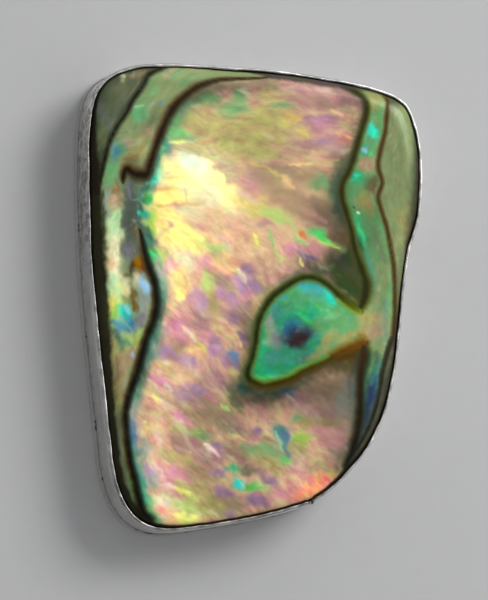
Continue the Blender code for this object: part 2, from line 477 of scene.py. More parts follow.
# The cabochon: one slab cut across the layers of an abalone shell, ground to the cup's
# outline, domed and polished. Dark lines are the brown layers between growths of nacre,
# and the drop at the right is a blister where nacre grew round a grain.
GIRDLE_INSET = 0.34
GIRDLE_TOP = 3.85
SLAB_BOTTOM = 0.85
SHOULDER_WIDTH = 1.76
SHOULDER_HEIGHT = 1.0
SHOULDER_POWER = 2.3
SHOULDER_RINGS = 14
DOME_RISE = 0.53
GRID_SPAN = 208
GRID_OFFSET = 303
DIP_OF_LINES = 0.012
RIPPLE = 0.004


def shoulder_height(share):
    return SHOULDER_HEIGHT * (1 - (1 - share) ** SHOULDER_POWER) ** (1 / SHOULDER_POWER)


shoulder_shares = (np.arange(SHOULDER_RINGS + 1) / SHOULDER_RINGS) ** 1.7
shell_rings = [
    ring(GIRDLE_INSET + 0.25, SLAB_BOTTOM),
    ring(GIRDLE_INSET, SLAB_BOTTOM + 0.25),
] + [
    ring(GIRDLE_INSET + share * SHOULDER_WIDTH, GIRDLE_TOP + shoulder_height(share))
    for share in shoulder_shares
]
shell = modelled_ring("polished_abalone", shell_rings)
bpy.ops.object.mode_set(mode="EDIT")
bpy.ops.mesh.fill_grid(span=GRID_SPAN, offset=GRID_OFFSET)
bpy.ops.object.mode_set(mode="OBJECT")

shell_points = np.empty(len(shell.data.vertices) * 3)
shell.data.vertices.foreach_get("co", shell_points)
shell_points = shell_points.reshape(-1, 3) / MM
table_ring = shell_rings[-1][:, :2] / MM
ring_angle = np.arctan2(table_ring[:, 1], table_ring[:, 0])
order = np.argsort(ring_angle)
inside = slice(len(shell_rings) * RIM_POINTS, None)
angle = np.arctan2(shell_points[inside, 1], shell_points[inside, 0])
reach = np.interp(angle, ring_angle[order], np.hypot(*table_ring[order].T), period=math.tau)
share_out = np.hypot(*shell_points[inside, :2].T) / reach
shell_points[inside, 2] = GIRDLE_TOP + SHOULDER_HEIGHT + DOME_RISE * (1 - share_out**2)


def to_pixels(points):
    """Where the camera sees points given in mm, in pixels of the photograph."""
    seen = points - np.array(camera_place)
    depth = seen @ -np.array(camera_back)
    scale = CAMERA_DISTANCE / MM_PER_PIXEL / depth
    return np.column_stack([
        PHOTO_WIDTH / 2 + seen @ np.array(camera_right) * scale,
        PHOTO_HEIGHT / 2 - seen @ np.array(camera_up) * scale,
    ])


pixels = to_pixels(shell_points)

# Brown layers between growths, each a line of pixel, pixel and half-width.
OUTER_LEFT_LINE = (
    (165.7, 66.7, 2), (149.7, 74, 2.6), (142.6, 86.7, 2.6), (133, 99.4, 2.6), (125.8, 113.8, 2.6),
    (116, 128, 2.6), (108.3, 145.7, 2.4), (103.5, 165, 2.2), (100.5, 180, 1.4), (98.5, 195, 0.6),
)
UPPER_LEFT_LINE = (
    (270, 76.5, 0.8), (259.8, 78, 1.0), (239, 78.7, 1.3),
    (221.5, 79.5, 1.8), (210.4, 82, 2.5), (197.6, 86.7, 3), (184.8, 96, 3.5), (173.7, 107.4, 4),
    (165.7, 121.8, 4), (160, 136, 4), (154.5, 150.5, 3.5), (150.5, 163, 4), (146.5, 174, 5.5),
    (139, 175, 5.5), (132, 172.5, 4.5), (127.4, 168.5, 3.5), (124.4, 172, 3.5),
    (123, 178, 2.6), (123, 183, 1.0),
)
LOWER_LEFT_LINE = (
    (139.5, 229, 0.7), (141.5, 237, 1.9), (144, 250, 3.0), (148, 265, 3.6),
    (153.7, 281, 3.4), (155.5, 290, 3.4), (156.3, 304.9, 3.8), (153, 321.5, 3.6),
    (146.3, 338, 3.6), (142, 354.6, 3.8), (137, 372.9, 3.8), (129.8, 392.8, 3.2),
    (125.6, 412.7, 3.0), (126, 429, 3.0), (127.8, 445.8, 2.9), (130.2, 462.4, 3.0),
    (134.7, 479, 3.4), (138, 495.6, 3.6), (143, 512, 3.6), (150, 520, 4),
)
INNER_RIGHT_LINE = (
    (343.7, 85, 3), (351.6, 89, 3), (361, 96, 3), (366, 104, 3), (366, 115, 3), (361, 132, 3),
    (356, 149.5, 3), (350, 169, 3), (343, 183, 3), (342, 197, 3), (346, 212, 3), (351, 229, 3),
    (355, 250, 3.5), (362, 270, 4.2), (366, 283, 5), (365, 297, 4.6), (361, 307, 3),
)
OUTER_RIGHT_LINE = (
    (378, 90, 2), (387, 98.5, 2), (387, 111, 2), (385, 132, 2), (380, 152, 2), (378, 167, 2),
    (382, 183, 2), (378, 197, 2), (382, 213, 2), (387, 229, 2), (391, 250, 2), (394, 270, 2),
    (395, 303, 2), (394.6, 320, 2.2), (393.3, 336, 2.4),
)
OUTER_RIGHT_FOOT = (
    (393.3, 336, 2.4), (387.6, 353.5, 2.4), (382.8, 372, 2.4), (380, 391, 2.1),
    (375.4, 409.5, 1.9), (368.6, 428, 1.9), (358.6, 446.5, 2.2), (349, 459, 2.6),
)
BLISTER_TIP = ((361, 312, 2.0), (352.7, 307, 3.6), (339.5, 296.5, 3.4))
BLISTER_TOP = (
    (339.5, 296.5, 3.2), (327.8, 285, 3), (312.9, 277.5, 3),
    (299.7, 279, 3.2), (286.4, 286.6, 3.4), (273, 296.5, 3.4), (264, 309.8, 3.4),
    (258, 324.7, 3.4), (255.7, 341.3, 3.4), (252.4, 357.9, 3.4), (247.4, 372.8, 3.6),
    (249.9, 380.3, 4),
)
BLISTER_FOOT = (
    (249.9, 380.3, 4), (261.5, 385.3, 4), (276.4, 383.6, 4), (291.4, 378.6, 4), (304.6, 371, 4),
    (319.6, 364.5, 4), (332.8, 357.9, 4.2),
)
BLISTER_HEEL = ((332.8, 357, 4.2), (343, 352, 5), (352, 348, 5.4), (359, 345, 5.6), (363, 343, 4.4))
LOWER_RIGHT_LINE = (
    (363, 345.5, 3.0), (363.6, 352, 4.8), (363, 360, 5.0), (361.2, 371, 4.2), (360.4, 386, 3.6),
    (360.4, 402.7, 3.8), (359.4, 419, 4.0), (356.8, 435.8, 4.0), (352, 452.4, 3.6), (346, 465.7, 3),
)
FAR = 9.0


def smooth_trace(trace, steps=4):
    """A traced line with points added on the smooth curve through its own."""
    points = np.array([trace[0], *trace, trace[-1]], dtype=float)
    before, start, end, after = points[:-3], points[1:-2], points[2:-1], points[3:]
    curve = [
        0.5 * (2 * start + (end - before) * t + (2 * before - 5 * start + 4 * end - after) * t**2
               + (3 * start - before - 3 * end + after) * t**3)
        for t in np.linspace(0, 1, steps, endpoint=False)
    ]
    return np.vstack([np.stack(curve, axis=1).reshape(-1, 3), points[-1:]])


def from_trace(trace):
    """How far each vertex is from a line: in half-widths, in pixels signed by side, and along."""
    ratio = np.full(len(pixels), np.inf)
    signed = np.zeros(len(pixels))
    along = np.zeros(len(pixels))
    curve = smooth_trace(trace)
    for index, ((x0, y0, w0), (x1, y1, w1)) in enumerate(zip(curve, curve[1:])):
        step = np.array([x1 - x0, y1 - y0])
        offset = pixels - (x0, y0)
        share = np.clip(offset @ step / (step @ step), 0, 1)
        away = offset - share[:, None] * step
        distance = np.hypot(*away.T)
        in_widths = distance / np.maximum(w0 + (w1 - w0) * share, 0.4)
        nearer = in_widths < ratio
        side = np.sign(step[1] * away[:, 0] - step[0] * away[:, 1])
        signed = np.where(nearer, distance * side, signed)
        along = np.where(nearer, (index + share) / (len(curve) - 1), along)
        ratio = np.where(nearer, in_widths, ratio)
    return ratio, signed, along


def inside_of(*corners):
    """Which vertices are inside a closed line of pixels."""
    found = np.zeros(len(pixels), dtype=bool)
    x, y = pixels.T
    for (x0, y0), (x1, y1) in zip(corners, (*corners[1:], corners[0])):
        crosses = (y0 > y) != (y1 > y)
        slope = (x1 - x0) / (y1 - y0) if y1 != y0 else 0.0
        found ^= crosses & (x < x0 + (y - y0) * slope)
    return found


def places(*traces):
    """The pixels of several traced lines, one after the other."""
    return [(x, y) for trace in traces for x, y, _ in trace]


in_blister = inside_of(*places(BLISTER_TIP, BLISTER_TOP, BLISTER_FOOT, BLISTER_HEEL), (367, 326))
in_right_edge = inside_of(
    *places(OUTER_RIGHT_LINE, OUTER_RIGHT_FOOT), (488, 470), (488, 60), (378, 60))
in_right_strip = ~in_right_edge & inside_of(
    (343, 60), *places(INNER_RIGHT_LINE), *places(LOWER_RIGHT_LINE), (340, 480), (488, 480),
    (488, 60))
in_left_margin = inside_of(
    (0, 0), (272, 50), *places(UPPER_LEFT_LINE[:12]), (145, 184), (141, 195), (137, 207),
    (138, 218), *places(LOWER_LEFT_LINE), (150, 600), (0, 600))
in_corner = inside_of((0, 0), (166, 50), *places(OUTER_LEFT_LINE), (0, 195))

# The glow and pearl tints are those of the painted highlight at the upper left of the shell, and blush that of the
# painted highlights on ridges of the nacre.
TINTS = {
    "olive": (100, 108, 82), "khaki": (166, 160, 104), "sage": (138, 152, 108),
    "dark_sage": (70, 79, 58), "moss": (110, 118, 85), "leaf": (112, 165, 112),
    "lime": (188, 214, 128), "acid": (160, 206, 96), "gold": (208, 190, 118),
    "straw": (188, 176, 120), "glow": (250, 242, 165), "lemon": (252, 244, 148),
    "cream": (216, 212, 172), "peach": (238, 196, 150), "salmon": (219, 184, 151),
    "rose": (201, 152, 147), "hot_rose": (226, 158, 172), "mauve": (172, 137, 135),
    "dusk": (150, 129, 110), "violet": (146, 116, 150), "lavender": (186, 146, 182),
    "teal": (78, 142, 122), "pine": (62, 96, 80), "jade": (72, 175, 125),
    "cyan": (84, 222, 195), "sky": (165, 205, 232), "blue": (74, 124, 165),
    "ink": (44, 54, 78), "coral": (232, 142, 122), "umber": (104, 88, 60),
    "ochre": (124, 80, 26), "slate": (86, 100, 90), "lilac_grey": (122, 116, 126),
    "mist": (150, 160, 146), "mint": (178, 214, 164), "pearl": (232, 250, 226),
    "maroon": (50, 34, 34), "tan": (168, 145, 115), "spring": (96, 205, 120),
    "orange": (224, 146, 92), "blush": (246, 216, 204),
    "lagoon": (84, 170, 176), "gilt": (112, 116, 30), "amber": (158, 98, 24), "bottle": (50, 66, 34),
    "bark": (74, 56, 16), "fern": (100, 170, 120), "steel": (66, 106, 130), "aubergine": (58, 46, 70),
}
CORNER_PATCHES = (
    ("olive", 118, 96, 16, 8, -55), ("cream", 124, 78, 2.2, 1.3, -30), ("moss", 104, 130, 16, 5, 100),
    ("dark_sage", 98, 160, 16, 5, 95),
)
LEFT_PATCHES = (
    ("sage", 190, 78, 30, 6, -10), ("sage", 160, 92, 16, 6, -50), ("leaf", 140, 112, 12, 5, -60),
    ("moss", 150, 122, 12, 5, -60), ("sage", 128, 132, 14, 6, -60), ("teal", 116, 150, 9, 4, -65),
    ("khaki", 138, 148, 12, 6, -60), ("leaf", 110, 174, 10, 5, 90), ("umber", 132, 160, 9, 5, -60),
    ("umber", 114, 188, 5, 4, 90), ("tan", 116, 200, 8, 4, 95), ("mist", 107, 200, 12, 3, 95),
    ("mint", 115, 222, 12, 5, 95), ("cream", 115, 246, 18, 6, 92), ("salmon", 112, 264, 7, 4, 90),
    ("cream", 115, 276, 8, 5, 90), ("mint", 114, 290, 11, 5, 90), ("lime", 114, 308, 12, 6, 90),
    ("cyan", 125, 313, 6, 4, 20), ("blue", 131, 322, 9, 4, 60), ("mint", 120, 328, 8, 5, 90),
    ("khaki", 117, 345, 12, 5, 95), ("tan", 121, 364, 16, 5, 98), ("khaki", 119, 392, 14, 4, 98),
    ("olive", 119, 424, 20, 4, 92), ("olive", 124, 462, 20, 4, 85), ("leaf", 132, 490, 12, 3, 78),
    ("slate", 132, 196, 18, 8, 92), ("lilac_grey", 129, 192, 9, 2.5, 92), ("slate", 131, 230, 20, 8, 90),
    ("lilac_grey", 129, 250, 7, 4, 90), ("mist", 134, 221, 3, 2.5, 0), ("slate", 124, 232, 22, 3, 92),
    ("ochre", 141, 264, 7, 5, 70), ("sky", 145, 285, 8, 3, 78), ("cream", 138, 279, 5, 3, 80),
    ("mist", 144, 304, 12, 4, 92), ("lilac_grey", 143, 320, 9, 4, 95), ("lime", 141, 334, 8, 3, 110),
    ("umber", 128, 276, 4, 2, 40), ("umber", 133, 292, 5, 2.5, 60), ("umber", 134, 306, 4, 2, 60),
    ("cream", 125, 288, 5, 4, 30), ("tan", 133, 350, 12, 4, 110), ("lime", 128, 340, 8, 3, 100),
)
MAIN_PATCHES = (
    ("rose", 226, 88, 9, 5, 0), ("rose", 250, 86, 9, 4, 0), ("leaf", 204, 100, 11, 7, -20),
    ("leaf", 240, 95, 7, 6, -60), ("moss", 190, 102, 10, 5, -40), ("salmon", 197, 109, 12, 4, -5),
    ("leaf", 176, 126, 13, 5, -50), ("leaf", 233, 111, 12, 6, -10), ("leaf", 283, 105, 10, 3.5, -12),
    ("straw", 213, 121, 22, 8, -8), ("khaki", 262, 118, 22, 8, -8), ("khaki", 246, 138, 34, 12, 0),
    ("khaki", 270, 152, 26, 7, 0), ("gold", 292, 119, 8, 5, 10), ("straw", 275, 96, 14, 6, 10),
    ("mauve", 306, 92, 24, 6, 4), ("rose", 300, 101, 14, 5, 10), ("mauve", 330, 104, 18, 6, 4),
    ("salmon", 318, 111, 18, 3.5, -3), ("violet", 324, 118, 11, 4, 0), ("mauve", 325, 125, 16, 5, 0),
    ("salmon", 346, 122, 5, 10, 10), ("violet", 326, 141, 10, 4, -10), ("mauve", 312, 146, 20, 6, 0),
    ("orange", 347, 141, 6, 4, 20), ("mauve", 338, 150, 10, 7, -10), ("rose", 288, 150, 14, 6, 0),
    ("salmon", 305, 158, 26, 4, -6), ("moss", 341, 164, 5, 6, 90), ("olive", 336, 186, 16, 6, 95),
    ("leaf", 320, 182, 8, 4, 0), ("pine", 338, 206, 18, 4, 90), ("tan", 306, 176, 18, 6, -5),
    ("dusk", 278, 168, 12, 6, 20), ("tan", 292, 200, 18, 8, 25), ("dusk", 318, 212, 15, 8, 25),
    ("tan", 262, 178, 16, 8, 25), ("rose", 247, 188, 9, 8, 20), ("mauve", 256, 178, 8, 5, 30),
    ("gold", 250, 202, 16, 7, 30), ("lime", 272, 214, 14, 4, 20), ("tan", 225, 168, 14, 6, 30),
    ("straw", 212, 152, 16, 6, 10), ("dusk", 330, 226, 12, 6, 25), ("umber", 338, 236, 8, 6, 40),
    ("leaf", 180, 138, 12, 3, -5), ("spring", 178, 133, 9, 2.5, -5), ("teal", 166, 148, 7, 4, 100),
    # The glow and pearl patches here paint the highlight at the upper left.
    ("glow", 184, 176, 20, 12, 20), ("pearl", 194, 164, 13, 6, 20), ("glow", 208, 176, 14, 10, 40),
    ("glow", 222, 190, 18, 7, 48), ("glow", 230, 201, 9, 7, 60), ("cream", 207, 196, 12, 8, 30),
    ("lemon", 168, 198, 13, 5, 0), ("lemon", 166, 220, 12, 9, 30), ("lemon", 184, 238, 14, 9, 20),
    ("cream", 192, 212, 12, 6, 10), ("salmon", 206, 222, 14, 8, 20), ("salmon", 232, 222, 20, 8, 10),
    ("salmon", 170, 225, 3, 5, 0), ("peach", 224, 240, 16, 6, 20), ("lime", 216, 246, 9, 3, 15),
    ("cyan", 155, 177, 4, 3, 60), ("teal", 151, 184, 5, 4, 90), ("spring", 147, 199, 4, 3, 0),
    ("jade", 145, 190, 5, 6, 90), ("cyan", 139.5, 212.5, 3, 1.8, 0), ("jade", 143, 214, 4, 4, 0),
    ("acid", 151, 219, 4, 8, 0), ("acid", 151, 232, 4, 4, 0), ("spring", 154, 254, 4.5, 3, 40),
    ("teal", 147, 247, 4, 5, 0), ("lime", 163, 257, 7, 3, 50), ("pine", 150, 240, 4, 3, 40),
    ("gold", 255, 239, 3, 6, -15), ("mauve", 263, 226, 8, 3, 0), ("salmon", 245, 250, 22, 8, 20),
    ("salmon", 280, 240, 8, 12, 60), ("hot_rose", 290, 250, 8, 5, 20), ("violet", 306, 256, 7, 4, 20),
    ("rose", 318, 250, 12, 4, 10), ("spring", 322, 236, 9, 3.5, 20), ("lime", 334, 245, 8, 3.5, 25),
    ("pine", 345, 256, 8, 7, 60), ("dark_sage", 342, 272, 16, 7, 50), ("olive", 322, 268, 16, 4, 15),
    ("orange", 303, 234, 4, 2, 10), ("salmon", 270, 262, 12, 8, 20), ("rose", 300, 268, 14, 4, 0),
    ("hot_rose", 168, 264, 4, 5, 0), ("cream", 188, 262, 10, 5, 40), ("gold", 180, 281, 8, 8, 60),
    ("lemon", 181, 293, 5, 5, 0), ("salmon", 170, 283, 6, 12, 80), ("rose", 193, 298, 6, 6, 50),
    ("lime", 207, 280, 4, 10, -10), ("straw", 212, 305, 4, 12, -12), ("salmon", 197, 275, 8, 10, 60),
    ("mauve", 224, 284, 7, 6, 40), ("lavender", 222, 292, 4, 4, 0), ("rose", 225, 306, 6, 9, 0),
    ("peach", 226, 264, 14, 6, 10), ("violet", 246, 269, 6, 4, 30), ("lavender", 242, 283, 4, 8, -20),
    ("violet", 255, 287, 8, 4, 40), ("rose", 262, 270, 10, 5, 30), ("hot_rose", 247, 295, 6, 4, -40),
    ("salmon", 260, 300, 8, 4, -45), ("violet", 231, 316, 7, 5, 40), ("mauve", 243, 308, 7, 6, 50),
    ("dusk", 246, 324, 9, 6, 60), ("salmon", 215, 322, 6, 9, 60), ("violet", 213, 340, 5, 4, 0),
    ("mauve", 203, 325, 10, 8, 50), ("hot_rose", 174, 325, 5, 8, 90), ("rose", 184, 312, 8, 5, 60),
    ("peach", 195, 351, 8, 5, 20), ("tan", 178, 345, 8, 6, 50), ("mauve", 172, 357, 5, 5, 0),
    ("salmon", 228, 336, 10, 4, 52), ("violet", 243, 338, 5, 4, 60), ("blue", 234, 357, 6, 4, 60),
    ("violet", 230, 364, 8, 4, 30), ("rose", 215, 362, 12, 6, 30), ("mauve", 215, 380, 14, 7, 20),
    ("salmon", 195, 372, 10, 6, 20), ("mist", 157, 345, 8, 4, 90), ("peach", 163, 366, 6, 5, 20),
    ("salmon", 180, 380, 12, 5, 30), ("straw", 235, 372, 10, 4, 10), ("pine", 243, 388, 7, 7, 30),
    ("olive", 232, 388, 6, 5, 30), ("violet", 198, 392, 7, 4, 0), ("rose", 211, 397, 6, 3, 0),
    ("tan", 190, 400, 12, 6, 30), ("dusk", 210, 408, 14, 7, 30), ("tan", 225, 420, 12, 5, 30),
    ("mauve", 232, 425, 12, 6, 35), ("olive", 236, 402, 8, 4, 45), ("dusk", 255, 400, 12, 6, 20),
    ("blue", 286, 393, 5, 4, 0), ("olive", 272, 396, 10, 4, 0), ("rose", 262, 412, 10, 4, 30),
    ("mauve", 300, 398, 12, 6, 0), ("dusk", 325, 392, 20, 8, 0), ("leaf", 297, 419, 5, 4, 0),
    ("khaki", 305, 422, 7, 4, 0), ("mauve", 322, 414, 16, 6, 0), ("mist", 342, 400, 6, 14, 10),
    ("khaki", 327, 420, 10, 4, 0), ("rose", 326, 436, 12, 6, 20), ("mauve", 340, 436, 6, 8, 0),
    ("blue", 284, 437, 7, 4, 70), ("teal", 280, 430, 6, 4, 20), ("blue", 289, 450, 6, 3, 70),
    ("acid", 302, 437, 6, 5, 0), ("khaki", 299, 446, 6, 5, 60), ("violet", 257, 431, 4, 3, 0),
    ("rose", 252, 440, 5, 3, -40), ("leaf", 252, 449, 8, 4, 0), ("leaf", 265, 452, 10, 5, 5),
    ("spring", 286, 461, 6, 3, 25), ("tan", 268, 441, 6, 3, 10), ("salmon", 312, 456, 14, 6, 10),
    ("tan", 322, 466, 14, 6, 0), ("rose", 300, 470, 12, 6, 0), ("mauve", 335, 452, 8, 6, -30),
    ("khaki", 270, 464, 12, 4, 30), ("mauve", 262, 474, 8, 4, 20), ("violet", 270, 480, 8, 3, 20),
    ("olive", 250, 470, 8, 3, 10), ("dusk", 240, 455, 10, 5, 30), ("violet", 218, 448, 6, 4, 20),
    ("mauve", 205, 455, 14, 6, 20), ("dusk", 190, 445, 16, 8, 20), ("leaf", 198, 434, 9, 3, 8),
    ("straw", 178, 428, 8, 4, 30), ("tan", 196, 420, 12, 6, 30), ("violet", 217, 473, 7, 3, 0),
    ("violet", 224, 493, 7, 4, 20), ("tan", 200, 475, 14, 8, 25), ("straw", 195, 490, 12, 6, 25),
    ("lime", 193, 497, 7, 4, 30), ("khaki", 215, 505, 16, 6, 10), ("dusk", 232, 506, 10, 5, 0),
    ("jade", 234, 468, 3, 6, 80), ("cyan", 239, 483, 4, 3.5, 60), ("spring", 250, 487, 7, 3, 0),
    ("lime", 262, 486, 6, 2.5, 0), ("rose", 270, 492, 10, 4, 0), ("hot_rose", 278, 496, 10, 4, -8),
    ("violet", 258, 500, 8, 4, 0), ("salmon", 243, 511, 8, 3, -10), ("lavender", 230, 512, 6, 3, 0),
    ("coral", 308, 490, 15, 7, -12), ("coral", 322, 481, 9, 5, -25), ("gold", 330, 474, 8, 3, -20),
    ("salmon", 300, 482, 10, 4, -10), ("rose", 292, 488, 8, 4, -10), ("salmon", 165, 397, 8, 4, 35),
    ("salmon", 152, 416, 7, 5, 35), ("peach", 152, 436, 7, 5, 60), ("salmon", 165, 440, 9, 5, 40),
    ("mist", 146, 450, 5, 8, 0), ("salmon", 160, 468, 10, 4, 45), ("lavender", 150, 472, 6, 6, 40),
    ("rose", 172, 492, 9, 4, 35), ("cream", 165, 500, 5, 5, 60), ("rose", 168, 482, 8, 4, 40),
    ("straw", 178, 458, 14, 6, 30), ("lime", 190, 507, 14, 4, 20), ("lemon", 184, 518, 12, 3, 5),
    ("hot_rose", 178, 338, 8, 6, 50), ("lavender", 200, 300, 8, 5, 50), ("hot_rose", 205, 334, 8, 5, 50),
    ("lavender", 190, 362, 9, 5, 40), ("hot_rose", 160, 384, 8, 5, 30), ("lavender", 186, 396, 9, 5, 30),
    ("hot_rose", 180, 474, 10, 5, 30), ("lavender", 215, 352, 7, 5, 30), ("hot_rose", 206, 262, 7, 4, 30),
    ("lavender", 233, 300, 6, 5, 40), ("hot_rose", 184, 420, 9, 4, 30), ("lavender", 168, 352, 8, 5, 30),
    ("peach", 166, 516, 8, 4, 20), ("straw", 205, 512, 12, 4, 5), ("mist", 148, 480, 5, 10, 80),
)
BLISTER_PATCHES = (
    ("lagoon", 312, 288, 12, 5, 15), ("cyan", 330, 298, 6, 3.5, 45), ("fern", 318, 300, 14, 6, 30),
    ("fern", 298, 298, 14, 8, -20), ("teal", 277, 312, 5, 9, 20), ("jade", 302, 312, 10, 6, 0),
    ("fern", 292, 308, 6, 4, 0), ("leaf", 334, 314, 8, 9, 60), ("khaki", 330, 338, 9, 5, -35),
    ("leaf", 318, 330, 6, 8, 0), ("mist", 270, 320, 3, 8, 15), ("mist", 275, 338, 6, 6, 0),
    ("jade", 283, 364, 14, 6, -15), ("teal", 275, 358, 10, 6, -30), ("jade", 266, 372, 10, 4, -10),
    ("fern", 285, 373, 16, 3, -18), ("khaki", 318, 355, 12, 3, -28), ("teal", 305, 358, 9, 5, -20),
    ("leaf", 348, 322, 10, 8, 0), ("khaki", 362, 324, 6, 8, 0), ("khaki", 348, 337, 8, 4, -35), ("blue", 289, 329, 4, 4, 0),
    ("jade", 262, 352, 4, 10, 10), ("jade", 316, 342, 4, 7, 10),
)
RIGHT_STRIP_PATCHES = (
    ("khaki", 375, 98, 8, 7, 60), ("leaf", 377, 116, 5, 8, 10), ("cyan", 373, 133, 4, 4, 0),
    ("leaf", 370, 143, 5, 6, 0), ("jade", 362, 150, 3, 5, 0), ("tan", 368, 163, 6, 6, 0),
    ("jade", 357, 178, 5, 4, 0), ("umber", 371, 184, 5, 5, 0), ("leaf", 353, 195, 5, 9, 0),
    ("khaki", 366, 203, 6, 8, 0), ("leaf", 357, 214, 5, 8, 0), ("leaf", 370, 228, 7, 8, 0),
    ("pine", 360, 240, 5, 8, 0), ("leaf", 373, 250, 6, 12, 0), ("sage", 381, 272, 6, 12, 0),
    ("sage", 374, 296, 8, 12, 0), ("khaki", 370, 316, 5, 6, 0), ("tan", 378, 326, 8, 10, 0),
    ("tan", 371, 335, 5, 6, 0), ("sage", 380, 346, 6, 9, 0), ("olive", 374, 364, 5, 10, 0),
    ("pine", 374, 382, 4, 12, 8), ("steel", 371, 399, 4, 7, 10), ("ink", 368, 411, 5, 8, 12),
    ("aubergine", 366, 424, 4, 8, 15), ("slate", 360, 438, 4, 8, 20),
)
RIGHT_EDGE_PATCHES = (
    ("dark_sage", 393, 98, 8, 8, 0), ("sage", 402, 118, 8, 12, 0), ("sage", 396, 150, 10, 16, 0),
    ("sage", 402, 190, 3, 18, 0), ("sage", 396, 190, 8, 20, 0), ("khaki", 403, 222, 5, 14, 0),
    ("sage", 398, 232, 6, 16, 0), ("moss", 402, 262, 4, 14, 0), ("olive", 400, 290, 3, 14, 0),
    ("dark_sage", 399, 325, 4, 20, 0), ("olive", 385.9, 386, 3, 30, 14),
    ("olive", 376, 415, 3, 16, 20),
)
